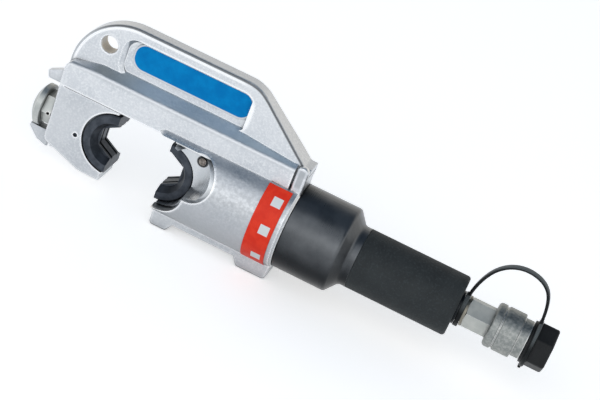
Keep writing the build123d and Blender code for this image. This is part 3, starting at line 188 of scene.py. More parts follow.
class Look(Nodes):
    """A surface material, with short calls for the patterns that it is made of."""

    def __init__(self, name):
        self.material = bpy.data.materials.new(name)
        super().__init__(self.material)
        self.output = self.node("ShaderNodeOutputMaterial")
        self.shader = self.node("ShaderNodeBsdfPrincipled")
        self.link(self.shader.outputs["BSDF"], self.output.inputs["Surface"])
        self.coords = self.node("ShaderNodeTexCoord").outputs["Object"]
        self.x, self.y, self.z = self.parts(self.coords)
        self.normal = None

    def set(self, **values):
        """Sets or links inputs of the surface shader, by name with _ for a space."""
        for key, value in values.items():
            self.feed(self.shader.inputs[key.replace("_", " ")], value)

    def true_normal(self):
        """The way that a face looks, without bumps."""
        return self.node("ShaderNodeNewGeometry").outputs["True Normal"]

    def stretched(self, scale):
        """Object coordinates scaled apart along x, y and z."""
        made = self.node("ShaderNodeMapping")
        self.link(self.coords, made.inputs["Vector"])
        made.inputs["Scale"].default_value = scale
        return made.outputs[0]

    def noise(self, scale, detail=3.0, roughness=0.55, vector=None):
        """Seamless noise whose features are about 1 / scale metres across."""
        made = self.node("ShaderNodeTexNoise")
        self.link(vector or self.coords, made.inputs["Vector"])
        made.inputs["Scale"].default_value = scale
        made.inputs["Detail"].default_value = detail
        made.inputs["Roughness"].default_value = roughness
        return made.outputs[0]

    def vary(self, noise, low, high):
        """A value that follows a noise pattern between two ends."""
        return self.spread(noise, *NOISE_SPAN, low, high)

    def clouded(self, noise, first, second, span=CLOUD_SPAN):
        """A colour that follows a noise pattern between two colours."""
        return self.mix(self.spread(noise, *span), first, second)

    def spot(self, across, up, centre, reach):
        """1 within an inner radius of a centre, fading to 0 at an outer radius."""
        size = self.length(self.minus(across, centre[0]), self.minus(up, centre[1]))
        return self.fall(size, *reach)

    def edges(self, radius, low=0.02, high=0.25):
        """How close a spot is to a sharp or rounded edge: 1 on the edge, 0 on open faces."""
        bevel = self.node("ShaderNodeBevel", samples=EDGE_SAMPLES)
        bevel.inputs["Radius"].default_value = radius
        likeness = self.node("ShaderNodeVectorMath", operation="DOT_PRODUCT")
        self.link(bevel.outputs[0], likeness.inputs[0])
        self.link(self.true_normal(), likeness.inputs[1])
        return self.spread(self.minus(1.0, likeness.outputs["Value"]), low, high)

    def hollows(self, distance, share, low=0.25, high=0.85):
        """How hidden a spot is: the share deep in a corner or gap, 0 on open faces."""
        made = self.node("ShaderNodeAmbientOcclusion", samples=HOLLOW_SAMPLES)
        made.inputs["Distance"].default_value = distance
        return self.product(self.fall(made.outputs["AO"], low, high), share)

    def bump(self, height, strength, distance):
        """Adds relief on top of the relief that is already there."""
        made = self.node("ShaderNodeBump")
        made.inputs["Strength"].default_value = strength
        made.inputs["Distance"].default_value = distance
        self.link(height, made.inputs["Height"])
        if self.normal is not None:
            self.link(self.normal, made.inputs["Normal"])
        self.normal = made.outputs[0]
        self.link(self.normal, self.shader.inputs["Normal"])


def scaled(colour, share):
    """A colour made darker or brighter."""
    return tuple(share * channel for channel in colour)


# The head's fin with its nose, rear slope and hanging hole, the beam's shoulder and the rear lug
NOSE_CENTRE = (AXIS_X - 141.5 * MM, AXIS_Z + 43.3 * MM)
NOSE_RADIUS = 42.6 * MM
FIN_FOOT = (AXIS_X - 4.8 * MM, AXIS_Z + 47.8 * MM)
FIN_REAR_ANGLE = math.radians(38.6)
FIN_CORNER_BLEND = 9.3 * MM
HANG_HOLE = (AXIS_X - 160.4 * MM, AXIS_Z + 65.9 * MM)
SHOULDER = (13.0 * MM, AXIS_Z + 44.9 * MM)
LUG_X = AXIS_X - 4.25 * MM

# Spans over which the forging's tones change: X along the part, Y out from its middle plane, Z up,
# DEPTH in from the fin's outline, REACH out from a centre, TILT by the way that a face looks
FIN_Y = sizes(8.6, 9.0)
CREST_DEPTH = sizes(3.0, 4.5)
CREST_LINE_DEPTH = sizes(0.1, 0.5, 1.1, 1.9)
TOP_EDGE_DEPTH = sizes(1.6, 2.2, 2.8, 4.4)
NOSE_X = along(-182.0, -160.0)
REAR_SLOPE_X = along(-68.0, -54.0)
HOLE_REACH = sizes(6.1, 6.4)
SHOULDER_REACH = sizes(0.9, 3.2)
BARREL_Y = sizes(13.5, 21.0)
BARREL_LOW_Z = above(-25.0, 10.0)
BARREL_HIGH_Z = above(-6.0, 16.0)
UNDER_BEAM_Z = above(17.0, 24.0)
JAW_X = along(-120.0, -112.0)
JAW_Z = above(22.0, 30.0)
SLOPE_X = along(-160.0, -120.0)
SLOPE_Z = above(40.0, 43.0)
SLOPE_SIDE_TILT = (0.50, 0.55, 0.62, 0.67)
SLOPE_UP_TILT = (0.74, 0.79)
POCKET_FRONT_X = along(-128.0, -118.0)
POCKET_HOLE_X = along(-148.5, -147.5)
POCKET_Y = sizes(5.75, 5.9)
POCKET_TOP_Z = above(77.7, 78.5)
POCKET_FOOT_Z = above(50.0, 68.0)
POCKET_TILT = (0.80, 0.95)
LUG_FLAT_X = sizes(1.5, 2.4)
LUG_NEAR_Y = sizes(-12.9, -12.5)
LUG_RIM_Z = above(46.4, 47.8)
LUG_FOOT_Z = above(32.4, 35.4)
GAP_SHADE_X = along(-12.0, -9.5)

# Tones of the forging, and of the shade, highlights and reflections painted on it
STEEL_GREY = (0.56, 0.585, 0.615)
STEEL_PALE = (0.645, 0.665, 0.69)
STEEL_GLINT = (0.76, 0.775, 0.79)
STEEL_PIT = (0.36, 0.385, 0.41)
SHOULDER_SHADE_GREY = (0.47, 0.49, 0.515)
STEEL_RUBBED_HIGHLIGHT = (0.97, 0.975, 0.98)
BARREL_GREY_AND_SHADE = (0.345, 0.36, 0.38)
LUG_SHADE_GREY = (0.34, 0.36, 0.38)
SLOPE_FRONT_SHADE = (0.50, 0.52, 0.50)
SLOPE_SKY_REFLECTION = (0.70, 0.82, 0.90)
HOLE_REFLECTION_BROWN = (0.46, 0.395, 0.31)
HOLLOW_SHADE_GREY = (0.20, 0.22, 0.24)
CORNER_SHADE_GREY = (0.15, 0.165, 0.18)
GAP_SHADE_BLACK = (0.05, 0.055, 0.06)
POCKET_SHADE = (0.10, 0.12, 0.15)
CREST_SHADE_BLACK = (0.07, 0.075, 0.08)


def fin_depth(look):
    """How far a spot lies inside the fin's outline of nose, top and rear slope."""
    ahead = look.math("MAXIMUM", look.minus(NOSE_CENTRE[0], look.x), 0.0)
    over = look.math("MAXIMUM", look.minus(look.z, NOSE_CENTRE[1]), 0.0)
    below_nose = look.minus(NOSE_RADIUS, look.length(ahead, over))
    across = look.product(look.minus(FIN_FOOT[0], look.x), math.sin(FIN_REAR_ANGLE))
    upward = look.product(look.minus(FIN_FOOT[1], look.z), math.cos(FIN_REAR_ANGLE))
    return look.math("SMOOTH_MIN", below_nose, look.math("ADD", across, upward), FIN_CORNER_BLEND)


def fin_lines(look, off_middle):
    """Masks along the fin's outline: its crest, the painted shade line on it and the painted highlight
    inside it.
    """
    depth = fin_depth(look)
    in_fin = look.fall(off_middle, *FIN_Y)
    crest = look.product(look.fall(depth, *CREST_DEPTH), in_fin)
    # Painted shade along the rounded crest, where it reflects the dim ceiling
    behind_nose = look.spread(look.x, *NOSE_X, to_low=0.35)
    crest_shade_line = look.product(look.band(depth, CREST_LINE_DEPTH, 0.88), behind_nose, in_fin)
    # Painted highlight along the near face's top edge
    before_slope = look.fall(look.x, *REAR_SLOPE_X)
    top_edge_highlight = look.product(look.band(depth, TOP_EDGE_DEPTH, 0.8), before_slope, in_fin)
    return crest, crest_shade_line, top_edge_highlight


def pocket_wall(look, off_middle):
    """1 on the sloped front wall of the name plate pockets, fading towards its foot."""
    sideways = look.math("ABSOLUTE", look.parts(look.true_normal())[1])
    return look.product(
        look.fall(sideways, *POCKET_TILT),
        look.fall(look.x, *POCKET_FRONT_X),
        look.spread(look.x, *POCKET_HOLE_X),
        look.fall(look.z, *POCKET_TOP_Z),
        look.spread(look.z, *POCKET_FOOT_Z),
        look.fall(off_middle, *POCKET_Y),
    )


def beam_slope(look):
    """1 on the sloped faces between the beam and the fin, by their height and the way they face, where
    painted shade and a painted reflection go.
    """
    facing = look.parts(look.true_normal())
    return look.product(
        look.band(look.math("ABSOLUTE", facing[1]), SLOPE_SIDE_TILT),
        look.spread(facing[2], *SLOPE_UP_TILT),
        look.spread(look.z, *SLOPE_Z),
    )


def lug_face(look):
    """1 on the flat middle of the rear lug, inside its bright rounded rim."""
    return look.product(
        look.fall(look.apart(look.x, LUG_X), *LUG_FLAT_X),
        look.fall(look.z, *LUG_RIM_Z),
        look.spread(look.z, *LUG_FOOT_Z),
        look.fall(look.y, *LUG_NEAR_Y),
    )


def barrel_shade(look, off_middle):
    """How far the barrel's sides go to a darker grey: their own darker turned finish, with painted
    shade that grows low down, blots high up, and half as much under the beam.
    """
    low_down = look.spread(look.z, *BARREL_LOW_Z, to_low=0.82, to_high=0.60)
    high_up = look.spread(look.z, *BARREL_HIGH_Z, to_low=0.2)
    mottle = look.noise(scale=420.0, detail=2.0)
    blots = look.spread(mottle, *CLOUD_SPAN, to_low=-0.22, to_high=0.14)
    return look.product(
        look.math("ADD", low_down, look.product(high_up, blots)),
        look.spread(look.z, *UNDER_BEAM_Z, to_low=1.0, to_high=0.5),
        look.spread(off_middle, *BARREL_Y),
    )


def jaw_shade(look):
    """How dark the jaw is below the beam."""
    return look.product(
        look.fall(look.x, *JAW_X, top=0.25),
        look.fall(look.z, *JAW_Z),
    )


def forged_steel():
    """Satin plated forging: blasted grain, soft mottling and rubbed edges, with painted shade, painted
    highlights and painted reflections laid over them.
    """
    look = Look("forged_steel")
    off_middle = look.math("ABSOLUTE", look.y)
    cloud = look.noise(scale=30.0, detail=4.0)
    grain = look.noise(scale=720.0)
    peel = look.noise(scale=330.0)
    crest, crest_shade_line, top_edge_highlight = fin_lines(look, off_middle)
    shoulder = look.spot(off_middle, look.z, SHOULDER, SHOULDER_REACH)
    # Where the rubbed edges get their painted highlights: neither on the fin's crest nor on the
    # shoulder
    rubbing = look.product(
        look.fall(crest, 0.0, 1.0, top=0.9),
        look.fall(shoulder, 0.0, 1.0),
    )
    worn_highlight = look.product(look.edges(radius=3.4 * MM, low=0.010, high=0.12), rubbing)
    polished_highlight = look.math("MAXIMUM", worn_highlight, top_edge_highlight)
    # Painted light on the beam's slopes: painted shade at the front, then a painted bluish reflection
    # of the ceiling
    slope_shade_and_reflection = look.mix(look.spread(look.x, *SLOPE_X), SLOPE_FRONT_SHADE, SLOPE_SKY_REFLECTION)
    # How strong the painted shade in the narrow gaps is: less beside the rear lug
    gap_shade = look.spread(look.x, *GAP_SHADE_X, to_low=0.85, to_high=0.35)
    colour = look.layered(
        look.clouded(cloud, STEEL_GREY, STEEL_PALE),
        (look.spread(grain, low=0.42, high=0.68, to_high=0.75), STEEL_GLINT),
        (look.fall(peel, low=0.30, high=0.42, top=0.15), STEEL_PIT),
        # Darker turned finish of the barrel, with painted shade low down
        (barrel_shade(look, off_middle), BARREL_GREY_AND_SHADE),
        (jaw_shade(look), BARREL_GREY_AND_SHADE),
        # Painted shade where the forging is hidden from the room: in its hollows and low on the barrel
        (look.hollows(distance=60.0 * MM, share=0.45, low=0.2, high=0.78), HOLLOW_SHADE_GREY),
        (look.product(beam_slope(look), 0.75), slope_shade_and_reflection),
        # Painted shade along the beam's rounded shoulder, toning down its highlight
        (look.product(shoulder, 0.5), SHOULDER_SHADE_GREY),
        # Painted warm reflection of the room behind, inside the hanging hole
        (look.product(look.spot(look.x, look.z, HANG_HOLE, HOLE_REACH), 0.9), HOLE_REFLECTION_BROWN),
        # Rubbed edges, lightened well past wear as painted highlights
        (polished_highlight, STEEL_RUBBED_HIGHLIGHT),
        # Painted shade in the corners
        (look.hollows(distance=12.0 * MM, share=0.7, low=0.35, high=0.85), CORNER_SHADE_GREY),
        # Painted shade, near black, in the narrow gaps and creases
        (look.hollows(distance=4.0 * MM, share=gap_shade, low=0.35, high=0.75), GAP_SHADE_BLACK),
        (look.product(pocket_wall(look, off_middle), 0.8), POCKET_SHADE),
        # Painted shade on the flat middle of the rear lug
        (look.product(lug_face(look), 0.7), LUG_SHADE_GREY),
        # Painted shade line along the crest
        (crest_shade_line, CREST_SHADE_BLACK),
    )
    matte = look.math("ADD", look.vary(grain, 0.31, 0.40), look.vary(cloud, -0.03, 0.03))
    look.set(Metallic=1.0, Base_Color=colour)
    look.set(Roughness=look.minus(matte, look.product(polished_highlight, 0.13)))
    look.bump(peel, strength=0.26, distance=0.6 * MM)
    look.bump(grain, strength=0.28, distance=0.3 * MM)
    return look.material


# Turned steel: how close its lines lie along x, y and z, and the painted shade in the bore round the
# lock button on the ram
TURNING_LINES = (2600.0, 40.0, 40.0)
LOCK_BUTTON = (-67.41 * MM, 62.8 * MM)
BORE_SHADE_REACH = sizes(4.0, 4.5)
BORE_SHADE_BLACK = (0.022, 0.020, 0.018)


def turned_steel(name, colour, bright, roughness, shaded_bore_centre=None):
    """Turned or ground steel, with fine lines round the ram axis, painted shade in its hollows, and
    perhaps painted shade in the bore round a hole.
    """
    look = Look(name)
    lines = look.noise(scale=1.0, detail=2.0, vector=look.stretched(TURNING_LINES))
    cloud = look.noise(scale=45.0)
    layers = [
        # Painted shade in the hollows
        (look.hollows(distance=20.0 * MM, share=0.7), scaled(colour, 0.3)),
        (look.edges(radius=0.7 * MM), scaled(bright, 1.18)),
    ]
    # Painted shade in the bore round the lock button
    if shaded_bore_centre:
        bore_shade = look.spot(look.x, look.z, shaded_bore_centre, BORE_SHADE_REACH)
        layers.append((look.product(bore_shade, 0.92), BORE_SHADE_BLACK))
    look.set(Metallic=1.0, Base_Color=look.layered(look.clouded(cloud, colour, bright), *layers))
    look.set(Roughness=look.vary(lines, roughness - 0.05, roughness + 0.06))
    look.bump(lines, strength=0.10, distance=0.2 * MM)
    return look.material


PLATING_HIGHLIGHT = (0.86, 0.86, 0.84)


def plated_steel(name, colour, stain, roughness, stain_scale=120.0, edge=0.8 * MM):
    """Zinc or nickel plating with a faint cloudy stain, painted shade in its hollows and rubbed edges
    lightened as painted highlights.
    """
    look = Look(name)
    cloud = look.noise(stain_scale, detail=5.0, roughness=0.6)
    grain = look.noise(scale=1500.0, detail=2.0)
    worn_highlight = look.edges(radius=edge)
    plating = look.layered(
        look.clouded(cloud, colour, stain, span=(0.35, 0.7)),
        # Painted shade in the hollows, then painted highlights on the rubbed edges
        (look.hollows(distance=15.0 * MM, share=0.7), scaled(colour, 0.25)),
        (worn_highlight, PLATING_HIGHLIGHT),
    )
    rough = look.vary(cloud, roughness - 0.05, roughness + 0.06)
    look.set(Metallic=1.0, Base_Color=plating)
    look.set(Roughness=look.minus(rough, look.product(worn_highlight, 0.12)))
    look.bump(grain, strength=0.08, distance=0.2 * MM)
    return look.material


OXIDE_DARK = (0.045, 0.052, 0.063)
OXIDE_PALE = (0.075, 0.084, 0.10)
OXIDE_SHADE = (0.018, 0.021, 0.025)
OXIDE_WORN = (0.24, 0.26, 0.29)


def black_oxide(name, wear):
    """Blue-black oxide on the dies and small parts, thin on the edges where it is rubbed, with painted
    shade in its hollows.
    """
    look = Look(name)
    cloud = look.noise(scale=160.0, detail=4.0)
    grain = look.noise(scale=1800.0, detail=2.0)
    rubbing = look.spread(cloud, low=0.3, high=0.65, to_low=0.35 * wear, to_high=wear)
    oxide = look.layered(
        look.clouded(cloud, OXIDE_DARK, OXIDE_PALE),
        # Painted shade in the hollows, such as the dies' bores
        (look.hollows(distance=30.0 * MM, share=0.6, low=0.35, high=0.9), OXIDE_SHADE),
        (look.product(look.edges(radius=0.7 * MM, low=0.05, high=0.4), rubbing), OXIDE_WORN),
    )
    look.set(Metallic=1.0, Base_Color=oxide, Roughness=look.vary(grain, 0.36, 0.48))
    look.bump(grain, strength=0.15, distance=0.2 * MM)
    return look.material


BROWN_DARK = (0.08, 0.066, 0.057)
BROWN_PALE = (0.30, 0.27, 0.245)
BROWN_WORN = (0.45, 0.42, 0.39)


def brown_steel():
    """Heat-browned steel of the lock button and the screw."""
    look = Look("brown_steel")
    cloud = look.noise(scale=700.0)
    base = look.clouded(cloud, BROWN_DARK, BROWN_PALE, span=NOISE_SPAN)
    look.set(Metallic=1.0, Base_Color=look.mix(look.edges(radius=0.5 * MM), base, BROWN_WORN))
    look.set(Roughness=look.vary(cloud, 0.30, 0.42))
    look.bump(cloud, strength=0.08, distance=0.2 * MM)
    return look.material


TOOL_LINES = (1800.0, 30.0, 30.0)
CYLINDER_DARK = (0.095, 0.101, 0.108)
CYLINDER_PALE = (0.125, 0.132, 0.140)
CYLINDER_SHADE = (0.013, 0.015, 0.017)
CYLINDER_WORN = (0.20, 0.21, 0.22)


def cylinder_black():
    """Semi-gloss black finish on turned steel, with faint tool lines, rubbed edges, and painted shade
    where it is hidden from the room, most of it low down.
    """
    look = Look("black_cylinder")
    lines = look.noise(scale=1.0, detail=2.0, vector=look.stretched(TOOL_LINES))
    cloud = look.noise(scale=60.0, detail=4.0)
    rubbing = look.spread(cloud, low=0.4, high=0.65, to_low=0.3)
    finish = look.layered(
        look.clouded(cloud, CYLINDER_DARK, CYLINDER_PALE),
        # Painted shade, strongest on the underside near the floor
        (look.hollows(distance=120.0 * MM, share=0.95, low=0.5, high=0.97), CYLINDER_SHADE),
        (look.product(look.edges(radius=0.7 * MM, low=0.05, high=0.4), rubbing), CYLINDER_WORN),
    )
    look.set(Metallic=1.0, Base_Color=finish)
    look.set(Roughness=look.math("ADD", look.vary(lines, 0.0, 0.05), look.vary(cloud, 0.26, 0.33)))
    look.bump(lines, strength=0.06, distance=0.2 * MM)
    return look.material


def rubber(name, dark, pale, roughness, grain_scale, relief, specular=0.35):
    """Moulded black rubber with a fine cast grain, flecked pale with dust."""
    look = Look(name)
    cloud = look.noise(scale=70.0, detail=4.0)
    grain = look.noise(grain_scale)
    surface = look.layered(
        look.clouded(cloud, dark, pale),
        (look.spread(grain, low=0.48, high=0.70, to_high=0.6), scaled(pale, 2.0)),
        (look.edges(radius=0.8 * MM, low=0.05, high=0.4), scaled(pale, 1.5)),
    )
    look.set(Base_Color=surface, Specular_IOR_Level=specular)
    look.set(Roughness=look.vary(grain, roughness - 0.06, roughness + 0.08))
    look.bump(grain, strength=0.25, distance=relief)
    return look.material


STRAP_DARK = (0.006, 0.008, 0.009)
STRAP_PALE = (0.010, 0.012, 0.013)
TOP_LIGHT_DARK = (0.078, 0.090, 0.094)
TOP_LIGHT_PALE = (0.104, 0.116, 0.120)


def strap_rubber():
    """Smooth black rubber of the strap, with a painted highlight of pale grey on the faces that look
    up.
    """
    look = Look("strap_rubber")
    cloud = look.noise(scale=70.0, detail=4.0)
    grain = look.noise(scale=1600.0)
    # Painted highlight: faces that look up are lighter
    upward = look.spread(look.parts(look.true_normal())[2], low=0.15, high=0.75)
    black = look.clouded(cloud, STRAP_DARK, STRAP_PALE)
    top_highlight = look.clouded(grain, TOP_LIGHT_DARK, TOP_LIGHT_PALE)
    look.set(Base_Color=look.mix(upward, black, top_highlight))
    look.set(Roughness=look.vary(grain, 0.34, 0.46), Specular_IOR_Level=0.14)
    look.bump(grain, strength=0.25, distance=0.1 * MM)
    return look.material


PLASTIC_WHITE = (0.72, 0.71, 0.67)


def white_plastic():
    """Pale engineering plastic of the sliding rings."""
    look = Look("white_plastic")
    grain = look.noise(scale=900.0)
    look.set(Base_Color=look.clouded(grain, PLASTIC_WHITE, scaled(PLASTIC_WHITE, 0.9), span=NOISE_SPAN))
    look.set(Roughness=look.vary(grain, 0.40, 0.52))
    look.bump(grain, strength=0.1, distance=0.1 * MM)
    return look.material


# Name plates: middle, half sizes, round ends and printed border
PLATE_MIDDLE = (AXIS_X - 97.625 * MM, AXIS_Z + 67.05 * MM)
PLATE_HALF = (45.175 * MM, 10.2 * MM)
PLATE_ROUND = 9.2 * MM
PLATE_BORDER = 1.15 * MM
BORDER_SOFT = 0.1 * MM
PLATE_BLUE = (0.001, 0.195, 0.53)
PLATE_PALE_BLUE = (0.002, 0.255, 0.62)
BORDER_PALE = (0.74, 0.75, 0.77)
PLATE_WORN = (0.50, 0.62, 0.74)


def blue_plate():
    """Blank printed blue plate with a cloudy ink, a pale border and a rubbed edge."""
    look = Look("blue_plate")
    cloud = look.noise(scale=120.0, detail=4.0, roughness=0.6)
    grain = look.noise(scale=1600.0, detail=2.0)
    corner = []
    for value, middle, half in zip((look.x, look.z), PLATE_MIDDLE, PLATE_HALF):
        beyond = look.minus(look.apart(value, middle), half - PLATE_ROUND)
        corner.append(look.math("MAXIMUM", beyond, 0.0))
    inner = PLATE_ROUND - PLATE_BORDER
    border = look.spread(look.length(*corner), inner - BORDER_SOFT, inner + BORDER_SOFT)
    plate = look.layered(
        look.clouded(cloud, PLATE_BLUE, PLATE_PALE_BLUE, span=(0.32, 0.68)),
        (border, BORDER_PALE),
        (look.product(look.edges(radius=0.5 * MM), 0.6), PLATE_WORN),
    )
    look.set(Base_Color=plate, Roughness=look.vary(grain, 0.36, 0.46), Specular_IOR_Level=0.05)
    look.bump(grain, strength=0.06, distance=0.1 * MM)
    return look.material


# Red band: its radius, its print lines and the row of three squares on it
BAND_RADIUS = 33.2 * MM
PRINT_LINES = (2200.0, 300.0, 300.0)
SQUARE_X = AXIS_X - 11.0 * MM
SQUARE_ANGLES = (44.5, 8.5, -33.5)
SQUARE_HALF = 3.5 * MM
SQUARE_SOFT = 0.12 * MM
BAND_RED = (0.78, 0.032, 0.012)
BAND_PALE_RED = (0.86, 0.048, 0.018)
BAND_STREAK = (0.68, 0.040, 0.020)
SQUARE_PALE = (0.74, 0.78, 0.79)


def red_band():
    """Printed red band with three blank pale squares, and a weave of print lines."""
    look = Look("red_band")
    cloud = look.noise(scale=150.0, detail=4.0)
    print_lines = look.noise(scale=1.0, detail=2.0, vector=look.stretched(PRINT_LINES))
    rim = (SQUARE_HALF - SQUARE_SOFT, SQUARE_HALF + SQUARE_SOFT)
    angle = look.math("ARCTAN2", look.minus(look.z, AXIS_Z), look.product(look.y, -1.0))
    in_column = 0.0
    for degrees in SQUARE_ANGLES:
        arc = look.product(look.minus(angle, math.radians(degrees)), BAND_RADIUS)
        square = look.fall(look.math("ABSOLUTE", arc), *rim)
        in_column = look.math("MAXIMUM", in_column, square)
    in_row = look.fall(look.apart(look.x, SQUARE_X), *rim)
    printed = look.layered(
        look.clouded(cloud, BAND_RED, BAND_PALE_RED),
        (look.spread(print_lines, low=0.45, high=0.75, to_high=0.35), BAND_STREAK),
        (look.product(in_column, in_row), SQUARE_PALE),
    )
    look.set(Base_Color=printed, Roughness=look.vary(print_lines, 0.42, 0.52), Specular_IOR_Level=0.2)
    look.bump(print_lines, strength=0.06, distance=0.1 * MM)
    return look.material


# Every solid's material
MATERIALS = {
    forged_steel(): ("head_frame",),
    turned_steel(
        "ground_steel",
        colour=(0.56, 0.585, 0.61),
        bright=(0.62, 0.64, 0.655),
        roughness=0.30,
        shaded_bore_centre=LOCK_BUTTON,
    ): ("ram",),
    black_oxide("black_oxide", wear=0.45): ("fixed_die", "moving_die"),
    black_oxide("black_clip", wear=0.1): ("lock_clip", "latch_stop_pin"),
    brown_steel(): ("lock_pin", "lock_plunger", "guide_screw"),
    turned_steel(
        "spring_steel",
        colour=(0.30, 0.30, 0.31),
        bright=(0.36, 0.36, 0.37),
        roughness=0.32,
    ): (
        "return_spring",
        "latch_spring",
        "lock_spring",
        "poppet_spring",
        "snap_ring",
        "spring_retainer",
        "spring_bolt",
    ),
    plated_steel(
        "zinc_steel",
        colour=(0.41, 0.43, 0.42),
        stain=(0.52, 0.53, 0.51),
        roughness=0.38,
    ): ("latch_knob", "latch_bush", "latch_pin"),
    plated_steel(
        "nipple_steel",
        colour=(0.44, 0.455, 0.435),
        stain=(0.55, 0.56, 0.535),
        roughness=0.56,
    ): ("inlet_nipple",),
    plated_steel(
        "plated_collar",
        colour=(0.22, 0.235, 0.23),
        stain=(0.37, 0.38, 0.365),
        roughness=0.44,
        stain_scale=480.0,
        edge=1.6 * MM,
    ): ("coupler_collar", "coupler_body", "poppet"),
    cylinder_black(): ("cylinder",),
    rubber(
        "grip_rubber",
        dark=(0.014, 0.018, 0.020),
        pale=(0.020, 0.025, 0.027),
        roughness=0.68,
        grain_scale=700.0,
        relief=1.4 * MM,
    ): ("grip_sleeve",),
    rubber(
        "cap_rubber",
        dark=(0.005, 0.006, 0.007),
        pale=(0.009, 0.010, 0.011),
        roughness=0.46,
        grain_scale=1600.0,
        relief=0.2 * MM,
        specular=0.22,
    ): ("dust_cap",),
    rubber(
        "seal_rubber",
        dark=(0.012, 0.013, 0.014),
        pale=(0.018, 0.019, 0.020),
        roughness=0.55,
        grain_scale=1800.0,
        relief=0.1 * MM,
    ): ("piston_seal", "socket_seal", "ram_wiper"),
    white_plastic(): ("backup_ring", "wear_ring"),
    turned_steel(
        "washer_brass",
        colour=(0.19, 0.178, 0.15),
        bright=(0.26, 0.245, 0.205),
        roughness=0.34,
    ): ("sealing_washer",),
    blue_plate(): ("name_plate_near", "name_plate_far"),
    red_band(): ("barrel_band",),
}
for material, names in MATERIALS.items():
    for name in names:
        slots = nodes[name].data.materials
        slots.clear()
        slots.append(material)


# Moulded strap of the dust cap: a ring behind the nipple, an arch, a ring on the cap's neck and a tab
STRAP_WIDTH = 5.0 * MM
STRAP_THICKNESS = 2.2 * MM
STRAP_ROUND = 0.7 * MM
STRAP_VOXEL = 0.32 * MM
STRAP_RELAX = 0.5
STRAP_RELAX_STEPS = 6
STRAP_CURVE_STEPS = 24
RING_STEPS = 96

# Each ring's start and end along the ram axis, inner and outer radius and cut edge, in millimetres
STRAP_RINGS = (
    (127.7, 131.1, 8.4, 12.6, 0.4),
    (179.4, 182.2, 12.8, 17.3, 0.5),
)

# Station and height of points on the arch and on the tab, in millimetres
ARCH_PATH = (
    (129.5, 10.0),
    (130.2, 17.0),
    (132.6, 27.0),
    (138.0, 38.0),
    (146.5, 45.6),
    (157.0, 48.6),
    (168.0, 46.6),
    (175.6, 40.8),
    (179.0, 31.0),
    (180.2, 22.0),
    (180.6, 14.5),
)
TAB_PATH = (
    (180.5, -14.0),
    (180.5, -17.0),
    (180.5, -20.5),
)


def cut_rectangle(left, right, low, high, cut):
    """The corners of a rectangle with its four corners cut off."""
    return (
        (left + cut, low),
        (right - cut, low),
        (right, low + cut),
        (right, high - cut),
        (right - cut, high),
        (left + cut, high),
        (left, high - cut),
        (left, low + cut),
    )


def skin(mesh, rows, following_rows):
    """Adds the faces between each row of points and the row that follows it."""
    for row, following in zip(rows, following_rows):
        for index in range(len(row)):
            after = (index + 1) % len(row)
            mesh.faces.new((row[index], row[after], following[after], following[index]))


def lathe(mesh, start, end, inner, outer, cut):
    """Adds a ring about the ram axis with its four edges cut off."""
    section = cut_rectangle(start, end, inner, outer, cut)
    rows = []
    for step in range(RING_STEPS):
        turn = 2 * math.pi * step / RING_STEPS
        rows.append(
            [mesh.verts.new(place(s, r * math.cos(turn), r * math.sin(turn))) for s, r in section]
        )
    skin(mesh, rows, rows[1:] + rows[:1])


def smooth_line(points):
    """Points along one smooth curve that follows the given points."""
    curve = bpy.data.curves.new("strap_path", "CURVE")
    curve.dimensions = "3D"
    spline = curve.splines.new("NURBS")
    spline.points.add(len(points) - 1)
    for point, spot in zip(spline.points, points):
        point.co = (*spot, 1.0)
    spline.order_u = 4
    spline.use_endpoint_u = True
    spline.resolution_u = STRAP_CURVE_STEPS
    holder = bpy.data.objects.new("strap_path", curve)
    line = [vertex.co.copy() for vertex in bpy.data.meshes.new_from_object(holder).vertices]
    bpy.data.objects.remove(holder)
    return line


def strip(mesh, line):
    """Adds the strap's flat section along a line in the middle plane, closed at both ends."""
    half_width = STRAP_WIDTH / 2
    half_thickness = STRAP_THICKNESS / 2
    section = cut_rectangle(-half_width, half_width, -half_thickness, half_thickness, STRAP_ROUND)
    across = Vector((0, 1, 0))
    rows = []
    for index, spot in enumerate(line):
        ahead = line[min(index + 1, len(line) - 1)] - line[max(index - 1, 0)]
        outward = ahead.normalized().cross(across)
        rows.append([mesh.verts.new(spot + across * a + outward * b) for a, b in section])
    skin(mesh, rows, rows[1:])
    mesh.faces.new(rows[0])
    mesh.faces.new(list(reversed(rows[-1])))


def moulded_strap():
    """The strap as one piece of rubber, its rings, arch and tab run together."""
    mesh = bmesh.new()
    for ring in STRAP_RINGS:
        lathe(mesh, *ring)
    strip(mesh, smooth_line([place(*point) for point in ARCH_PATH]))
    strip(mesh, [place(*point) for point in TAB_PATH])
    bmesh.ops.recalc_face_normals(mesh, faces=mesh.faces)
    data = bpy.data.meshes.new("cap_strap_rubber")
    mesh.to_mesh(data)
    mesh.free()
    strap = bpy.data.objects.new("cap_strap_rubber", data)
    scene.collection.objects.link(strap)
    remesh = strap.modifiers.new("remesh", "REMESH")
    remesh.mode = "VOXEL"
    remesh.voxel_size = STRAP_VOXEL
    relax = strap.modifiers.new("relax", "SMOOTH")
    relax.factor = STRAP_RELAX
    relax.iterations = STRAP_RELAX_STEPS
    bpy.context.view_layer.update()
    evaluated = strap.evaluated_get(bpy.context.evaluated_depsgraph_get())
    solid = bpy.data.meshes.new_from_object(evaluated)
    strap.modifiers.clear()
    strap.data = solid
    solid.name = "cap_strap_rubber"
    for polygon in solid.polygons:
        polygon.use_smooth = True
    return strap


strap = moulded_strap()
strap.data.materials.clear()
strap.data.materials.append(strap_rubber())
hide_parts("cap_strap")
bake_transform(strap)


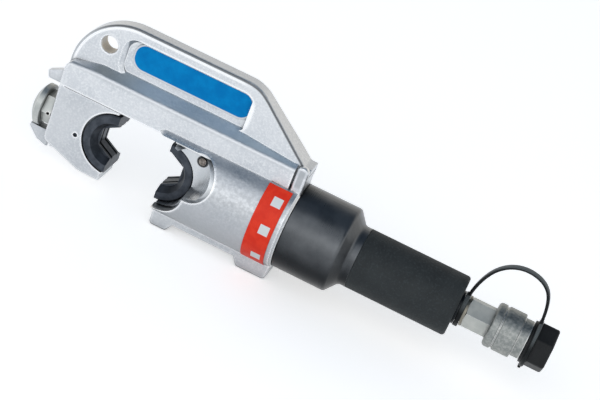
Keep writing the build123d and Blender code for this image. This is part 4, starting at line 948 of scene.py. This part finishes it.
# Coil springs: each one a piece of its own, on its body
SPRINGS = (
    ("return_spring", "head", "ram_stroke", (1, 0, 0), "low", 39.5 * MM),
    ("latch_spring", "head", "fixed_die_latch_pull", (1, 0, 0), "low", 5.0 * MM),
    ("lock_spring", "ram_set", "die_lock_press", (0, 1, 0), "high", 5.0 * MM),
    ("poppet_spring", "head", "valve_push", (1, 0, 0), "low", 3.0 * MM),
)


def coil_spring(name, body, joint, axis, fixed_end, travel):
    """A spring's coil as a piece of its own, on the body that carries it."""
    coil = bpy.data.objects.new(name + "_coil", nodes[name].data.copy())
    coil.matrix_world = nodes[name].matrix_world
    scene.collection.objects.link(coil)
    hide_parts(name)
    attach(coil, body)
    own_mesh(coil)


for spring in SPRINGS:
    coil_spring(*spring)


# Floor
FLOOR_HALF = 6.0
FLOOR_GLOW = 0.45
FLOOR_GREY = (0.78, 0.78, 0.78)
FLOOR_PALE = (0.80, 0.80, 0.80)
FLOOR_SEEN = (0.95, 0.95, 0.95)


def white_floor():
    """A pale floor that shows white to the camera and in reflections, and keeps soft shadows."""
    look = Look("floor")
    paper = look.node("ShaderNodeBsdfDiffuse")
    paper_colour = look.clouded(look.noise(scale=9.0), FLOOR_GREY, FLOOR_PALE, span=NOISE_SPAN)
    look.link(paper_colour, paper.inputs["Color"])
    shade = look.node("ShaderNodeBsdfDiffuse")
    shade.inputs["Color"].default_value = (*FLOOR_SEEN, 1.0)
    glow = look.node("ShaderNodeEmission")
    glow.inputs["Strength"].default_value = FLOOR_GLOW
    lifted = look.node("ShaderNodeAddShader")
    look.link(shade.outputs[0], lifted.inputs[0])
    look.link(glow.outputs[0], lifted.inputs[1])
    rays = look.node("ShaderNodeLightPath")
    seen = look.math("MAXIMUM", rays.outputs["Is Camera Ray"], rays.outputs["Is Glossy Ray"])
    seen = look.math("MAXIMUM", seen, rays.outputs["Is Transmission Ray"])
    choice = look.node("ShaderNodeMixShader")
    look.link(seen, choice.inputs[0])
    look.link(paper.outputs[0], choice.inputs[1])
    look.link(lifted.outputs[0], choice.inputs[2])
    look.tree.nodes.remove(look.shader)
    look.link(choice.outputs[0], look.output.inputs["Surface"])
    return look.material


floor_data = bpy.data.meshes.new("floor")
floor_corners = [(x, y, 0.0) for x, y in ((-1, -1), (1, -1), (1, 1), (-1, 1))]
floor_data.from_pydata([Vector(c) * FLOOR_HALF for c in floor_corners], [], [(0, 1, 2, 3)])
floor = bpy.data.objects.new("floor", floor_data)
floor_data.materials.append(white_floor())
scene.collection.objects.link(floor)


# Light: the room's tones change by the y and the z of the direction that is looked in
WALL_SPAN = (-0.2, 0.7)
WALL_FRONT = (1.12, 1.14, 1.16)
WALL_BACK = (0.94, 0.915, 0.87)
CEILING_SPAN = (0.40, 0.86)
CEILING = (0.14, 0.19, 0.255)
WHITE = (1.0, 1.0, 1.0)
MIDDLE = Vector((0.0, 0.0, 62.0 * MM))


def studio_world():
    """Soft studio: white all round, warmer behind, and a dim ceiling."""
    world = bpy.data.worlds.new("studio")
    room = Nodes(world)
    facing = room.parts(room.node("ShaderNodeTexCoord").outputs["Generated"])
    walls = room.mix(room.spread(facing[1], *WALL_SPAN), WALL_FRONT, WALL_BACK)
    inside = room.mix(room.spread(facing[2], *CEILING_SPAN), walls, CEILING)
    seen = room.mix(room.node("ShaderNodeLightPath").outputs["Is Camera Ray"], inside, WHITE)
    background = room.node("ShaderNodeBackground")
    room.link(seen, background.inputs["Color"])
    output = room.node("ShaderNodeOutputWorld")
    room.link(background.outputs[0], output.inputs["Surface"])
    return world


def direction(azimuth, elevation):
    """The unit vector towards an azimuth, counted from the front, and an elevation, in degrees."""
    turn = math.radians(azimuth)
    rise = math.radians(elevation)
    return Vector((math.sin(turn) * math.cos(rise), -math.cos(turn) * math.cos(rise), math.sin(rise)))


def softbox(name, azimuth, elevation, distance, size, power):
    """A square lamp that faces the object's middle."""
    lamp = bpy.data.lights.new(name, "AREA")
    lamp.shape = "SQUARE"
    lamp.size = size
    lamp.energy = power
    holder = bpy.data.objects.new(name, lamp)
    away = direction(azimuth, elevation)
    holder.location = MIDDLE + away * distance
    holder.rotation_mode = "QUATERNION"
    holder.rotation_quaternion = away.to_track_quat("Z", "Y")
    scene.collection.objects.link(holder)


scene.world = studio_world()
softbox("key", azimuth=-6.0, elevation=42.0, distance=1.6, size=1.6, power=5.5)


# Camera, as worked out from the photograph's outline
CAMERA_AZIMUTH = 8.26
CAMERA_ELEVATION = 28.0
CAMERA_ROLL = -22.22
CAMERA_DISTANCE = 1.04257
CAMERA_TARGET = Vector((0.002115, 0.0, 0.062276))
CAMERA_NEAR = 0.05
CAMERA_FAR = 50.0
FOCAL_PIXELS = 1535.0
PHOTO_WIDTH = 600.0
SENSOR = 36.0


def photo_camera():
    """The photograph's camera, rolled about its line of sight."""
    data = bpy.data.cameras.new("camera")
    data.sensor_fit = "HORIZONTAL"
    data.sensor_width = SENSOR
    data.lens = FOCAL_PIXELS * SENSOR / PHOTO_WIDTH
    data.clip_start = CAMERA_NEAR
    data.clip_end = CAMERA_FAR
    camera = bpy.data.objects.new("camera", data)
    azimuth = math.radians(CAMERA_AZIMUTH)
    roll = math.radians(CAMERA_ROLL)
    back = direction(CAMERA_AZIMUTH, CAMERA_ELEVATION)
    level_right = Vector((math.cos(azimuth), math.sin(azimuth), 0.0))
    level_up = back.cross(level_right)
    right = level_right * math.cos(roll) - level_up * math.sin(roll)
    up = level_right * math.sin(roll) + level_up * math.cos(roll)
    turn = Matrix((right, up, back)).transposed().to_4x4()
    camera.matrix_world = Matrix.Translation(CAMERA_TARGET + back * CAMERA_DISTANCE) @ turn
    scene.collection.objects.link(camera)
    return camera


scene.camera = photo_camera()
scene.view_settings.view_transform = "Standard"
